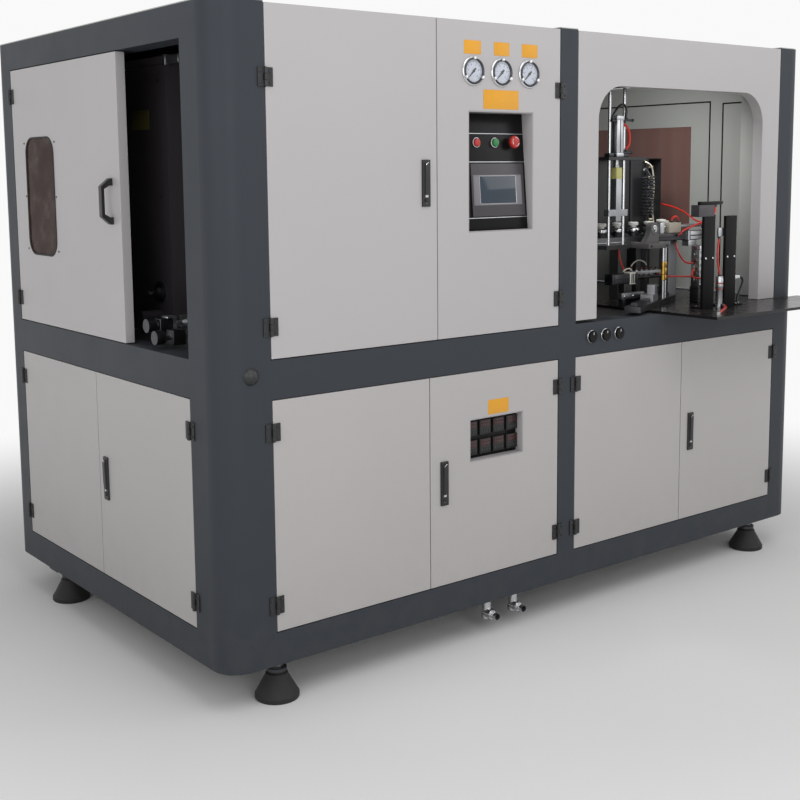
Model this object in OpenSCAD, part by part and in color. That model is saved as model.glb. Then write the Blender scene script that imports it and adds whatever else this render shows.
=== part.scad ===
// Stretch blow moulding machine: a welded cabinet with blow station, oven bay and outfeed table.
// Millimetres. X runs along the front, Y from front to back, Z up; the floor is at zero.

/* [Body] */
// Length of the frame over its end posts
body_l = 2634; // [2500:1:2900]
// Depth of the frame over its front and back posts
body_d = 1575; // [1500:1:1800]
// Height of the frame from its lowest beam to its top
body_h = 1857; // [1800:1:2000]
// Height of the levelling feet under the frame
foot_h = 125; // [100:1:160]
// Wall of the frame's posts and beams
tube_wall = 4; // [3:0.5:6]
// Radius of the cabinet's upright corners
corner_r = 80; // [30:1:95]

/* [Posts and beams] */
// Front face width of the left posts
left_post_w = 162; // [140:1:190]
// Front face width of the right posts
right_post_w = 149; // [130:1:180]
// End face width of the front posts
front_post_d = 172; // [150:1:190]
// End face width of the back posts
back_post_d = 150; // [120:1:180]
// Left face of the middle posts, from the frame's left end
mid_post_x = 1290; // [1270:1:1330]
// Width of the middle posts
mid_post_w = 79; // [60:1:90]
// Depth of the beams and middle posts
beam_d = 80; // [60:1:90]
// Height of the lowest beams
base_beam_h = 97; // [80:1:110]
// Underside of the middle beams
mid_beam_z = 773; // [740:1:800]
// Height of the middle beams
mid_beam_h = 111; // [90:1:120]
// Height of the top beams
top_beam_h = 92; // [70:1:110]
// Distance of the top front beam behind the front face
top_beam_back = 44; // [42:1:60]

/* [Doors] */
// Depth of a folded door
door_t = 30; // [20:1:34]
// Sheet metal thickness
sheet = 2; // [1.5:0.1:3]
// Gap round a closed door
door_gap = 3; // [2.5:0.1:5]
// Parting line of the upper front doors, from the frame's left end
upper_split_x = 765; // [720:1:800]
// Parting line of the lower front doors
lower_split_x = 731; // [700:1:780]
// Parting line of the feed section's doors
feed_split_x = 1929; // [1880:1:1960]
// Parting line of the lower end doors, from the front face
end_split_y = 803; // [780:1:840]
// Free edge of the upper end door, from the front face
end_door_free_y = 572; // [540:1:640]

/* [Hinges and locks] */
// Height of a hinge
hinge_h = 51; // [44:1:60]
// Width of one hinge leaf from the axis
leaf_w = 24; // [20:1:30]
// Thickness of a hinge leaf
leaf_t = 4; // [3:0.5:5]
// Radius of a hinge knuckle
knuckle_r = 5.5; // [5:0.1:6]
// Radius of a hinge pin
pin_r = 2.5; // [2:0.1:3]
// Distance of a lower hinge from its door's bottom
hinge_inset = 79; // [60:1:120]
// Distance of an upper hinge from its door's top
hinge_top = 90; // [60:1:120]
// The same distance on the front's upper doors
hinge_top_inset = 197; // [120:1:240]
// Height of a lock plate
lock_h = 140; // [130:1:160]
// Width of a lock plate
lock_w = 30; // [28:1:38]
// Distance of the upper door's lock plate from its free edge
lock_inset = 29; // [24:1:40]
// Distance of a lower door's lock plate from its free edge
lower_lock_inset = 39; // [24:1:48]
// Projection of a lock in front of its door
lock_out = 10; // [8:0.5:14]
// Projection of the bow handle
handle_out = 38; // [30:1:45]

/* [Control panel] */
// Left edge of the control recess, from the frame's left end
panel_x = 891; // [870:1:910]
// Width of the control recess
panel_w = 276; // [260:1:290]
// Lower edge of the control recess, above the frame's lowest face
panel_z = 1211; // [1190:1:1230]
// Height of the control recess
panel_h = 373; // [360:1:385]
// Depth of the tilted panel at its lower edge
panel_low_d = 21; // [15:1:30]
// Depth of the tilted panel at its upper edge
panel_high_d = 53; // [40:1:60]
// Radius of a push button
button_r = 14; // [11:0.5:15]
// Radius of the emergency stop's mushroom
stop_r = 20; // [17:0.5:22]
// Radius of a gauge's flange
gauge_r = 45; // [40:0.5:48]
// Spacing of the gauges
gauge_pitch = 118; // [110:1:125]
// Radius of a regulator knob
knob_r = 22.5; // [18:0.5:26]
// Spacing of the regulator knobs
knob_pitch = 68; // [60:1:80]

/* [Process window] */
// Width of the window panel's left leg
window_left = 100; // [80:1:120]
// Width of the window panel's right leg
window_right = 102; // [80:1:120]
// Height of the window panel's top band
window_top = 172; // [140:1:200]
// Radius of the window's upper corners
window_r = 115; // [80:1:140]

/* [Outfeed table] */
// Left edge of the table plate, from the frame's left end
table_x = 1805; // [1760:1:1830]
// Overhang of the table plate in front of the frame
table_out = 250; // [200:1:320]
// Reach of the table plate into the cabinet
table_in = 400; // [380:1:420]
// Thickness of the table plate
table_t = 10; // [6:0.5:12]
// Height of the two uprights
upright_h = 335; // [300:1:360]
// Width of an upright
upright_w = 62; // [50:1:66]

/* [Oven and conveyor] */
// Spindle spacing along the conveyor
spindle_pitch = 88.9; // [85:0.1:92]
// Distance of the front spindle row behind the front face
row_y = 250; // [244:1:258]
// Radius of the conveyor's end turns
turn_r = 90; // [86:1:100]
// Top face of the conveyor track, above the frame's lowest face
track_z = 1150; // [1140:1:1160]
// Height of the oven's top edge
oven_top = 1445; // [1430:1:1460]

/* [Blow station] */
// Parting plane of the mould, from the front face
parting_y = 620; // [610:1:640]
// Travel of each mould half
mould_travel = 80; // [60:1:85]
// Radius of a tie bar
tie_bar_r = 20; // [16:1:24]
// Distance between the two bottle cavities
cavity_pitch = 360; // [320:1:380]
// Radius of a bottle cavity
bottle_r = 36; // [30:1:42]

/* [Hidden] */

$fn = 48;
eps = 0.01;
cut = 1;

// Levels and edges of the frame's bays
left_bay = [left_post_w, mid_post_x];
right_bay = [mid_post_x + mid_post_w, body_l - right_post_w];
end_bay = [front_post_d, body_d - back_post_d];
bed_z = mid_beam_z + mid_beam_h;
bed_t = 6;
bed_lap = 20;
top_z = body_h - top_beam_h;
floor_z = base_beam_h + sheet;
lower_door_z = [base_beam_h + door_gap, mid_beam_z - door_gap];
upper_door_z = [bed_z + door_gap, body_h - door_gap];
end_door_z = [bed_z + door_gap, top_z - door_gap];
roof_t = 3;

// Centre of the whole part, which is its origin on the floor
inlet_out = 40;
centre_x = (body_l - handle_out) / 2;
centre_y = (body_d + inlet_out - table_out) / 2;

// Door sheets
lip = 16;
cover_t = 22;

// Hinge axes stand this far in front of the face
axis_out = knuckle_r + 1;
knuckle_gap = 0.5;
door_knuckle_h = hinge_h / 3;
bore_gap = 0.1;

// Colours
frame_paint = "#4d565c";
door_paint = "#c9c7c0";
black_part = "#1c1d1f";
bright_steel = "#c5c8ca";
plain_steel = "#8b9094";
aluminium_c = "#b4b7b9";
brown_tint = "#6b4a3a";
red_part = "#b3261e";

// The whole machine is drawn from the frame's lower front left corner
module place() {
  translate([-centre_x, -centre_y, foot_h]) children();
}

// Local faces: x along the face, y into the cabinet, z up
module on_left_end() {
  mirror([1, -1, 0]) children();
}

module on_right_end() {
  translate([body_l, 0, 0]) rotate([0, 0, 90]) children();
}

module on_back() {
  translate([body_l, body_d, 0]) rotate([0, 0, 180]) children();
}

module block(low, high) {
  translate(low) cube(high - low);
}

// A closed box section with the frame's wall
module hollow_block(low, high, wall = tube_wall) {
  difference() {
    block(low, high);
    block(low + [wall, wall, wall], high - [wall, wall, wall]);
  }
}

module rod_x(x0, x1, y, z, r) {
  translate([x0, y, z]) rotate([0, 90, 0]) cylinder(r = r, h = x1 - x0);
}

module rod_y(y0, y1, x, z, r) {
  translate([x, y0, z]) rotate([-90, 0, 0]) cylinder(r = r, h = y1 - y0);
}

module rod_z(z0, z1, x, y, r) {
  translate([x, y, z0]) cylinder(r = r, h = z1 - z0);
}

// Plan of a corner post with its round outer corner at the origin
module corner_plan(w, d, r) {
  difference() {
    square([w, d]);
    difference() {
      translate([-cut, -cut]) square([r + cut, r + cut]);
      translate([r, r]) circle(r = r, $fn = 96);
    }
  }
}

module corner_post(w, d) {
  difference() {
    linear_extrude(body_h) corner_plan(w, d, corner_r);
    translate([tube_wall, tube_wall, tube_wall])
      linear_extrude(body_h - 2 * tube_wall)
        corner_plan(w - 2 * tube_wall, d - 2 * tube_wall, corner_r - tube_wall);
  }
}

// Frame

module posts() {
  color(frame_paint) {
    difference() {
      corner_post(left_post_w, front_post_d);
      translate([cap_x, -cut, cap_z]) rotate([-90, 0, 0]) cylinder(r = cap_stem_r, h = 3 * cut + tube_wall);
    }
    translate([body_l, 0, 0]) mirror([1, 0, 0]) corner_post(right_post_w, front_post_d);
    translate([0, body_d, 0]) mirror([0, 1, 0]) corner_post(left_post_w, back_post_d);
    translate([body_l, body_d, 0]) mirror([1, 0, 0]) mirror([0, 1, 0])
      corner_post(right_post_w, back_post_d);
    for (y = [0, body_d - beam_d])
      hollow_block([mid_post_x, y, 0], [mid_post_x + mid_post_w, y + beam_d, body_h]);
  }
}

// One level of beams between the posts
module beam_ring(z0, z1, front_back) {
  for (bay = [left_bay, right_bay]) {
    hollow_block([bay[0], front_back, z0], [bay[1], front_back + beam_d, z1]);
    hollow_block([bay[0], body_d - beam_d, z0], [bay[1], body_d, z1]);
  }
  for (x = [0, body_l - beam_d])
    hollow_block([x, end_bay[0], z0], [x + beam_d, end_bay[1], z1]);
}

// Water unions under the front, air inlet and cable gland on the back
union_xs = [1015, 1134];
union_y = 55;
union_z = -60;
union_r = 10.5;
union_out = 24;
air_bore_r = 15;
gland_bore_r = 9;
air_spot = [body_l - left_bay[1] + 340, 640];
gland_spot = [body_l - left_bay[1] + 500, 640];
inlet_hole_r = 20;
inlet_flange_r = 26;
inlet_nut = 12;

module water_unions() {
  for (x = union_xs) {
    difference() {
      union() {
        rod_z(union_z - 16, eps, x, union_y, 14);
        rod_y(union_y - 30, union_y, x, union_z, 17);
        rod_y(union_y - 30 - union_out, union_y, x, union_z, union_r);
      }
      rod_y(union_y - 30 - union_out - cut, union_y, x, union_z, union_r - 3);
    }
  }
}

// Holes of the inlets in the rear cover, drawn flat on its outer face
module inlet_holes() {
  for (spot = [air_spot, gland_spot])
    translate([spot[0], -cut, spot[1]]) rotate([-90, 0, 0]) cylinder(r = inlet_hole_r, h = sheet + 2 * cut);
}

module inlet(spot, bore_r, outer_r) {
  translate([spot[0], 0, spot[1]]) rotate([90, 0, 0]) difference() {
    union() {
      translate([0, 0, -inlet_nut]) cylinder(r = inlet_hole_r - 1, h = inlet_nut + eps);
      translate([0, 0, -eps]) cylinder(r = inlet_flange_r, h = 8 + eps);
      cylinder(r = outer_r, h = inlet_out);
    }
    translate([0, 0, -inlet_nut - cut]) cylinder(r = bore_r, h = inlet_out + inlet_nut + 2 * cut);
  }
}

module base_frame() {
  color(frame_paint) {
    beam_ring(0, base_beam_h, 0);
    hollow_block([mid_post_x, beam_d, 0], [mid_post_x + mid_post_w, body_d - beam_d, base_beam_h]);
  }
  color(bright_steel) water_unions();
}

module middle_frame() {
  color(frame_paint) {
    difference() {
      beam_ring(mid_beam_z, bed_z, 0);
      for (i = [0:2])
        translate([knob_x + i * knob_pitch, -cut, knob_z]) rotate([-90, 0, 0])
          cylinder(r = knob_stem_r + 0.08, h = tube_wall + 2 * cut);
    }
    hollow_block([mid_post_x, beam_d, mid_beam_z],
      [mid_post_x + mid_post_w, body_d - beam_d, bed_z - bed_t]);
    for (y = [beam_d, body_d - beam_d - bed_lap])
      for (bay = [left_bay, right_bay])
        block([bay[0] + 1, y, bed_z - 2 * bed_t], [bay[1] - 1, y + bed_lap, bed_z - bed_t]);
  }
}

module top_frame() {
  color(frame_paint) {
    beam_ring(top_z, body_h, top_beam_back);
    hollow_block([mid_post_x, beam_d, top_z], [mid_post_x + mid_post_w, body_d - beam_d, body_h]);
  }
}

module bed_plate() {
  color(plain_steel)
    cross_plate(beam_d + sheet, [beam_d + sheet, beam_d + sheet], bed_z - bed_t, bed_z);
}

// Covers

// A folded sheet cover: skin at y = 0, edges folded inwards
module pan(x0, x1, z0, z1, depth) {
  difference() {
    block([x0, 0, z0], [x1, depth, z1]);
    block([x0 + sheet, sheet, z0 + sheet], [x1 - sheet, depth - sheet, z1 - sheet]);
    block([x0 + lip, sheet, z0 + lip], [x1 - lip, depth + cut, z1 - lip]);
  }
}

// A cover that fills a bay of the cabinet
module bay_cover(bay, z0, z1) {
  pan(bay[0], bay[1], z0 + door_gap, z1 - door_gap, cover_t);
}

vent_w = 180;
vent_h = 8;
vent_pitch = 28;

module vents(x, z) {
  for (i = [0:9])
    block([x - vent_w / 2, -cut, z + i * vent_pitch], [x + vent_w / 2, sheet + cut, z + i * vent_pitch + vent_h]);
}

// The right end's brown window, measured along the end from the back
right_window_back = 561;
right_window_w = 589;
right_window = [body_d - right_window_back - right_window_w, body_d - right_window_back];
right_window_z = [1160, 1560];
pane_lap = 20;
pane_t = 5;

// The hole that the transfer passes through
transfer_door_y = [300, 640];
transfer_door_z = 1250;

module cover_panels() {
  back_left = [body_l - right_bay[1], body_l - right_bay[0]];
  back_right = [body_l - left_bay[1], body_l - left_bay[0]];
  color(door_paint) {
    on_back() {
      for (bay = [back_left, back_right]) {
        difference() {
          bay_cover(bay, base_beam_h, mid_beam_z);
          vents(bay[0] + (bay[1] - bay[0]) / 4, 250);
          vents(bay[1] - (bay[1] - bay[0]) / 4, 250);
          if (bay == back_right) inlet_holes();
        }
        bay_cover(bay, bed_z, top_z);
      }
      inlet(air_spot, air_bore_r, 21);
      inlet(gland_spot, gland_bore_r, 16);
    }
    on_right_end() {
      bay_cover(end_bay, base_beam_h, mid_beam_z);
      difference() {
        bay_cover(end_bay, bed_z, top_z);
        block([body_d - right_window[1], -cut, right_window_z[0]],
          [body_d - right_window[0], sheet + cut, right_window_z[1]]);
      }
    }
    translate([0, 0, body_h]) linear_extrude(roof_t) roof_plan();
    partition();
    floor_sheet();
  }
}

// Outline of the frame with its round corners, cut back above the front doors
module roof_plan() {
  difference() {
    square([body_l, body_d]);
    for (i = [0, 1]) for (j = [0, 1])
      translate([i * body_l, j * body_d]) mirror([i, 0]) mirror([0, j]) difference() {
        translate([-cut, -cut]) square([corner_r + cut, corner_r + cut]);
        translate([corner_r, corner_r]) circle(r = corner_r, $fn = 96);
      }
    for (bay = [left_bay, right_bay]) translate([bay[0], -cut]) square([bay[1] - bay[0], top_beam_back + cut]);
  }
}

// A level plate between the frame's members, which leaves room for the corner posts
module cross_plate(edge_x, edge_y, z0, z1) {
  linear_extrude_between(z0, z1) {
    translate([left_bay[0] + 1, edge_y[0]])
      square([right_bay[1] - left_bay[0] - 2, body_d - edge_y[0] - edge_y[1]]);
    translate([edge_x, end_bay[0] + 1]) square([body_l - 2 * edge_x, end_bay[1] - end_bay[0] - 2]);
  }
}

module linear_extrude_between(z0, z1) {
  translate([0, 0, z0]) linear_extrude(z1 - z0) children();
}

module partition() {
  x = mid_post_x + mid_post_w / 2;
  difference() {
    block([x - sheet, beam_d, bed_z], [x + sheet, body_d - beam_d, top_z]);
    block([x - 2 * sheet, transfer_door_y[0], bed_z - cut],
      [x + 2 * sheet, transfer_door_y[1], transfer_door_z]);
  }
}

// Floor of the lower compartments, on the lowest beams
module floor_sheet() {
  difference() {
    cross_plate(door_t + door_gap, [door_t + door_gap, cover_t + door_gap], base_beam_h, floor_z);
    for (y = [0, body_d - beam_d])
      block([mid_post_x - 1, y - 1, 0], [mid_post_x + mid_post_w + 1, y + beam_d + 1, floor_z + cut]);
  }
}

module right_end_window() {
  color(brown_tint)
    on_right_end()
      block([body_d - right_window[1] - pane_lap, sheet, right_window_z[0] - pane_lap],
        [body_d - right_window[0] + pane_lap, sheet + pane_t, right_window_z[1] + pane_lap]);
}

// The window panel's outline, with every edge moved inwards by the amount given
window_x = [right_bay[0] + door_gap, right_bay[1] - door_gap];
window_z = bed_z + table_t + 1;
window_fold = top_beam_back;

module window_outline(inset) {
  x0 = window_x[0] + window_left - inset;
  x1 = window_x[1] - window_right + inset;
  z1 = upper_door_z[1] - window_top + inset;
  r = window_r + inset;
  difference() {
    translate([window_x[0] + inset, window_z + (inset > 0 ? inset : 0)])
      square([window_x[1] - window_x[0] - 2 * inset, upper_door_z[1] - window_z - 2 * inset]);
    translate([x0, window_z - cut]) square([x1 - x0, z1 - r - window_z + cut]);
    translate([x0 + r, window_z - cut]) square([x1 - x0 - 2 * r, z1 - window_z + cut]);
    for (x = [x0 + r, x1 - r]) translate([x, z1 - r]) circle(r = r, $fn = 96);
  }
}

module window_panel() {
  color(door_paint)
    difference() {
      translate([0, window_fold, 0]) rotate([90, 0, 0]) linear_extrude(window_fold) window_outline(0);
      translate([0, window_fold + cut, 0]) rotate([90, 0, 0])
        linear_extrude(window_fold + cut - sheet) window_outline(sheet);
    }
}

// Feet

foot_r = 66;
foot_edge = foot_r + 2;
foot_left = 200;
foot_right = body_l - 194;
foot_front = 330;
foot_back = body_d - 325;
foot_mid = mid_post_x + mid_post_w / 2;
foot_spots = [
  [foot_left, foot_edge], [foot_right, foot_edge],
  [foot_edge, foot_back], [body_l - foot_edge, foot_back],
  [foot_mid, foot_front], [foot_mid, foot_back]
];
foot_neck_r = 27;
foot_rim_h = 14;
foot_nut_h = 18;
foot_plate = [130, 70, 8];

// A rubber machine mount with its nut and the plate welded under the beam
module foot() {
  neck_z = foot_h - foot_plate[2] - foot_nut_h;
  cone_z = neck_z - 24;
  rotate_extrude($fn = 64)
    polygon([[0, 0], [foot_r, 0], [foot_r, foot_rim_h], [foot_neck_r + 6, cone_z],
      [foot_neck_r, cone_z + 6], [foot_neck_r, neck_z], [0, neck_z]]);
  translate([0, 0, neck_z]) cylinder(r = 20, h = foot_nut_h, $fn = 6);
  translate([-foot_plate[0] / 2, -foot_plate[1] / 2, foot_h - foot_plate[2]]) cube(foot_plate);
}

module levelling_feet() {
  color(black_part)
    for (spot = foot_spots) translate([spot[0], spot[1], -foot_h]) foot();
}

// Hinges

hinge_zs_lower = [lower_door_z[0] + hinge_inset, lower_door_z[1] - hinge_top];
hinge_zs_upper = [upper_door_z[0] + hinge_top, upper_door_z[1] - hinge_top_inset];
hinge_zs_end = [end_door_z[0] + hinge_inset, end_door_z[1] - hinge_top];

// The fixed leaf and pin of one hinge, with the leaf towards -x
module fixed_leaf() {
  side_h = (hinge_h - door_knuckle_h) / 2 - knuckle_gap;
  block([-leaf_w, axis_out - leaf_t, -hinge_h / 2], [-knuckle_r - 1, axis_out, hinge_h / 2]);
  for (z = [-hinge_h / 2, hinge_h / 2 - side_h]) {
    translate([0, 0, z]) cylinder(r = knuckle_r, h = side_h);
    block([-knuckle_r - 1 - eps, axis_out - leaf_t, z], [0, knuckle_r - 0.5, z + side_h]);
  }
  translate([0, 0, -hinge_h / 2]) cylinder(r = pin_r, h = hinge_h);
}

// The door's leaf of one hinge, towards +x
module door_leaf() {
  difference() {
    union() {
      block([knuckle_r + 1, axis_out - leaf_t, -hinge_h / 2], [leaf_w, axis_out, hinge_h / 2]);
      translate([0, 0, -door_knuckle_h / 2]) cylinder(r = knuckle_r, h = door_knuckle_h);
      block([0, axis_out - leaf_t, -door_knuckle_h / 2],
        [knuckle_r + 1 + eps, knuckle_r - 0.5, door_knuckle_h / 2]);
    }
    translate([0, 0, -hinge_h]) cylinder(r = pin_r + bore_gap, h = 2 * hinge_h);
  }
}

// Hinge lines of a face: left-hand ones at the bay's low edge, right-hand ones at its high edge
module at_left_hinge(bay, zs) {
  for (z = zs) translate([bay[0] + door_gap / 2, -axis_out, z]) children();
}

module at_right_hinge(bay, zs) {
  for (z = zs) translate([bay[1] - door_gap / 2, -axis_out, z]) mirror([1, 0, 0]) children();
}

cap_x = 98;
cap_z = 845;
cap_r = 25;
cap_stem_r = 8;

module frame_hardware() {
  color(black_part) {
    for (bay = [left_bay, right_bay]) {
      at_left_hinge(bay, hinge_zs_lower) fixed_leaf();
      at_right_hinge(bay, hinge_zs_lower) fixed_leaf();
    }
    at_left_hinge(left_bay, hinge_zs_upper) fixed_leaf();
    at_right_hinge(left_bay, hinge_zs_upper) fixed_leaf();
    on_left_end() {
      at_left_hinge(end_bay, hinge_zs_lower) fixed_leaf();
      at_right_hinge(end_bay, hinge_zs_lower) fixed_leaf();
      at_right_hinge(end_bay, hinge_zs_end) fixed_leaf();
    }
    post_cap();
  }
}

// Domed cap in the front left post
module post_cap() {
  translate([cap_x, 0, cap_z]) rotate([90, 0, 0]) {
    intersection() {
      translate([0, 0, -cap_r * 0.5]) sphere(r = cap_r * 1.118);
      cylinder(r = cap_r, h = cap_r);
    }
    translate([0, 0, -tube_wall]) cylinder(r = cap_stem_r, h = tube_wall + eps);
  }
}

// Doors

module hinged_left(bay, zs) {
  at_left_hinge(bay, zs) door_leaf();
}

module hinged_right(bay, zs) {
  at_right_hinge(bay, zs) door_leaf();
}

// A lock plate with its lift-out handle and key barrel
module lock_plate(x, z) {
  plate_t = lock_out * 0.6;
  color(black_part) {
    block([x - lock_w / 2, -plate_t, z - lock_h / 2], [x + lock_w / 2, eps, z + lock_h / 2]);
    block([x - lock_w / 4, -lock_out, z - lock_h / 4], [x + lock_w / 4, eps - plate_t, z + lock_h * 0.44]);
    translate([x, eps - plate_t, z - lock_h * 0.36]) rotate([90, 0, 0])
      cylinder(r = lock_w * 0.26, h = lock_out - plate_t);
  }
}

module leaf_pan(x0, x1, z) {
  color(door_paint) pan(x0, x1, z[0], z[1], door_t);
}

upper_split = [upper_split_x - door_gap / 2, upper_split_x + door_gap / 2];
lower_split = [lower_split_x - door_gap / 2, lower_split_x + door_gap / 2];
feed_split = [feed_split_x - door_gap / 2, feed_split_x + door_gap / 2];
end_split = [end_split_y - door_gap / 2, end_split_y + door_gap / 2];
upper_lock_z = 1365;
lower_lock_z = 430;

module upper_left_door() {
  leaf_pan(left_bay[0] + door_gap, upper_split[0], upper_door_z);
  color(black_part) hinged_left(left_bay, hinge_zs_upper);
  lock_plate(upper_split[0] - lock_inset - lock_w / 2, upper_lock_z);
}

module upper_right_door() {
  color(door_paint)
    difference() {
      pan(upper_split[1], left_bay[1] - door_gap, upper_door_z[0], upper_door_z[1], door_t);
      block([panel_x, -cut, panel_z], [panel_x + panel_w, door_t + cut, panel_z + panel_h]);
      for (i = [0:2])
        translate([gauge_x + i * gauge_pitch, -cut, gauge_z]) rotate([-90, 0, 0])
          cylinder(r = gauge_body_r, h = sheet + 2 * cut);
    }
  color(black_part) hinged_right(left_bay, hinge_zs_upper);
}

module lower_left_door() {
  leaf_pan(left_bay[0] + door_gap, lower_split[0], lower_door_z);
  color(black_part) hinged_left(left_bay, hinge_zs_lower);
}

module lower_right_door() {
  color(door_paint)
    difference() {
      pan(lower_split[1], left_bay[1] - door_gap, lower_door_z[0], lower_door_z[1], door_t);
      block([heat_x, -cut, heat_z], [heat_x + heat_w, door_t + cut, heat_z + heat_h]);
    }
  color(black_part) hinged_right(left_bay, hinge_zs_lower);
  lock_plate(lower_split[1] + lower_lock_inset + lock_w / 2, lower_lock_z);
}

module feed_left_door() {
  leaf_pan(right_bay[0] + door_gap, feed_split[0], lower_door_z);
  color(black_part) hinged_left(right_bay, hinge_zs_lower);
}

module feed_right_door() {
  leaf_pan(feed_split[1], right_bay[1] - door_gap, lower_door_z);
  color(black_part) hinged_right(right_bay, hinge_zs_lower);
  lock_plate(feed_split[1] + lower_lock_inset + lock_w / 2, lower_lock_z);
}

// The upper end door's window, measured along the end face from the front
end_window_side = 115;
end_window_w = 240;
end_window_y = [end_bay[1] - end_window_side - end_window_w, end_bay[1] - end_window_side];
end_window_z = [1127, 1526];
end_window_r = 55;

module rounded_plate(a, b, r, t) {
  rotate([90, 0, 0]) linear_extrude(t) difference() {
    translate(a) square(b - a);
    for (i = [0, 1]) for (j = [0, 1])
      translate([i == 0 ? a[0] : b[0], j == 0 ? a[1] : b[1]])
        mirror([i, 0]) mirror([0, j]) difference() {
          translate([-cut, -cut]) square([r + cut, r + cut]);
          translate([r, r]) circle(r = r);
        }
  }
}

module end_upper_door() {
  on_left_end() {
    color(door_paint)
      difference() {
        pan(end_door_free_y, end_bay[1] - door_gap, end_door_z[0], end_door_z[1], door_t);
        translate([0, sheet + cut, 0])
          rounded_plate([end_window_y[0], end_window_z[0]], [end_window_y[1], end_window_z[1]],
            end_window_r, sheet + 2 * cut);
      }
    color(black_part) hinged_right(end_bay, hinge_zs_end);
  }
}

module end_door_window() {
  color(brown_tint)
    on_left_end() translate([0, sheet + pane_t, 0])
      rounded_plate([end_window_y[0] - pane_lap, end_window_z[0] - pane_lap],
        [end_window_y[1] + pane_lap, end_window_z[1] + pane_lap], end_window_r + pane_lap, pane_t);
}

handle_z = [1248, 1388];
handle_w = 20;
handle_bar = 10;

// A bow handle: two feet, two slanting legs and a grip
module end_door_handle() {
  y = end_door_free_y + 60;
  slant = 24;
  color(black_part)
    on_left_end() translate([y - handle_w / 2, 0, 0]) rotate([90, 0, 90]) linear_extrude(handle_w)
      polygon([
        [0, handle_z[0]], [-handle_bar, handle_z[0]],
        [-handle_out, handle_z[0] + slant], [-handle_out, handle_z[1] - slant],
        [-handle_bar, handle_z[1]], [0, handle_z[1]], [0, handle_z[1] - 22], [-handle_bar, handle_z[1] - 22],
        [-handle_out + handle_bar, handle_z[1] - slant - 8],
        [-handle_out + handle_bar, handle_z[0] + slant + 8],
        [-handle_bar, handle_z[0] + 22], [0, handle_z[0] + 22]
      ]);
}

module end_far_door() {
  on_left_end() {
    leaf_pan(end_split[1], end_bay[1] - door_gap, lower_door_z);
    color(black_part) hinged_right(end_bay, hinge_zs_lower);
  }
}

module end_near_door() {
  on_left_end() {
    leaf_pan(end_bay[0] + door_gap, end_split[0], lower_door_z);
    color(black_part) hinged_left(end_bay, hinge_zs_lower);
    lock_plate(end_split[0] - lower_lock_inset - lock_w / 2, lower_lock_z);
  }
}

// Control panel

panel_tilt = atan((panel_high_d - panel_low_d) / panel_h);
box_wall = 2;
box_d = panel_high_d + 8;
panel_gap = 0.5;

// Draws on the tilted panel: x from the recess's left edge, z up the panel, y into it
module on_panel() {
  translate([panel_x, panel_low_d, panel_z]) rotate([-panel_tilt, 0, 0]) children();
}

button_z = 278;
button_xs = [69, 146, 218];
button_travel = 4;
bezel_r = button_r + 3;
bezel_out = 5;

module button_bore(x, r) {
  translate([x, -bezel_out - cut, button_z]) rotate([-90, 0, 0]) cylinder(r = r, h = bezel_out + box_wall + 3 * cut);
}

module control_box() {
  x0 = panel_x + panel_gap;
  x1 = panel_x + panel_w - panel_gap;
  z0 = panel_z + panel_gap;
  z1 = panel_z + panel_h - panel_gap;
  color(black_part) {
    difference() {
      block([x0, 0, z0], [x1, box_d, z1]);
      block([x0 + box_wall, -cut, z0 + box_wall], [x1 - box_wall, box_d - box_wall, z1 - box_wall]);
    }
    difference() {
      on_panel() {
        difference() {
          union() {
            block([0, 0, 0], [panel_w, box_wall + 1, panel_h]);
            for (x = button_xs) translate([x, 0, button_z]) rotate([90, 0, 0])
              cylinder(r = bezel_r, h = bezel_out);
          }
          for (x = button_xs) button_bore(x, (x == button_xs[2] ? stop_stem_r : button_r) + 0.4);
        }
      }
      block([x0 - panel_gap - cut, -cut, z0 - 2 * panel_h], [x0 + box_wall - eps, box_d, z1 + panel_h]);
      block([x1 - box_wall + eps, -cut, z0 - 2 * panel_h], [x1 + panel_gap + cut, box_d, z1 + panel_h]);
      block([x0 - cut, -cut, z1 - box_wall + eps], [x1 + cut, box_d + cut, z1 + panel_h]);
      block([x0 - cut, -cut, z0 - panel_h], [x1 + cut, box_d + cut, z0 + box_wall - eps]);
    }
  }
}

screen_x = [37, 262];
screen_z = [43, 211];
screen_out = 6;

module operator_screen() {
  color("#3a3d40")
    on_panel() difference() {
      block([screen_x[0], -screen_out, screen_z[0]], [screen_x[1], 0, screen_z[1]]);
      block([screen_x[0] + 34, -screen_out - cut, screen_z[0] + 43],
        [screen_x[1] - 41, 1.5 - screen_out, screen_z[1] - 38]);
    }
}

// A push button whose stem slides in the panel's bore
module push_button(x) {
  on_panel() translate([x, 0, button_z]) rotate([90, 0, 0]) {
    translate([0, 0, -box_wall - 3]) cylinder(r = button_r, h = bezel_out + button_travel + box_wall + 3);
  }
}

module stop_button() {
  color(red_part) push_button(button_xs[0]);
}

module start_button() {
  color("#1f7a3c") push_button(button_xs[1]);
}

stop_stem_r = 9;
stop_head_h = 14;

module emergency_stop() {
  color(red_part)
    on_panel() translate([button_xs[2], 0, button_z]) rotate([90, 0, 0]) {
      translate([0, 0, -box_wall - 3]) cylinder(r = stop_stem_r, h = bezel_out + button_travel + box_wall + 5);
      translate([0, 0, bezel_out + button_travel + 1]) rotate_extrude($fn = 64)
        polygon([[0, 0], [stop_r - 3, 0], [stop_r, 4], [stop_r, 9], [stop_r - 5, stop_head_h - 1.5],
          [stop_r - 11, stop_head_h], [0, stop_head_h]]);
    }
}

// Gauges

gauge_x = 910;
gauge_z = 1704;
gauge_body_r = gauge_r - 12;
gauge_depth = 42;
gauge_out = 9;
dial_out = 3.5;

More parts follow.
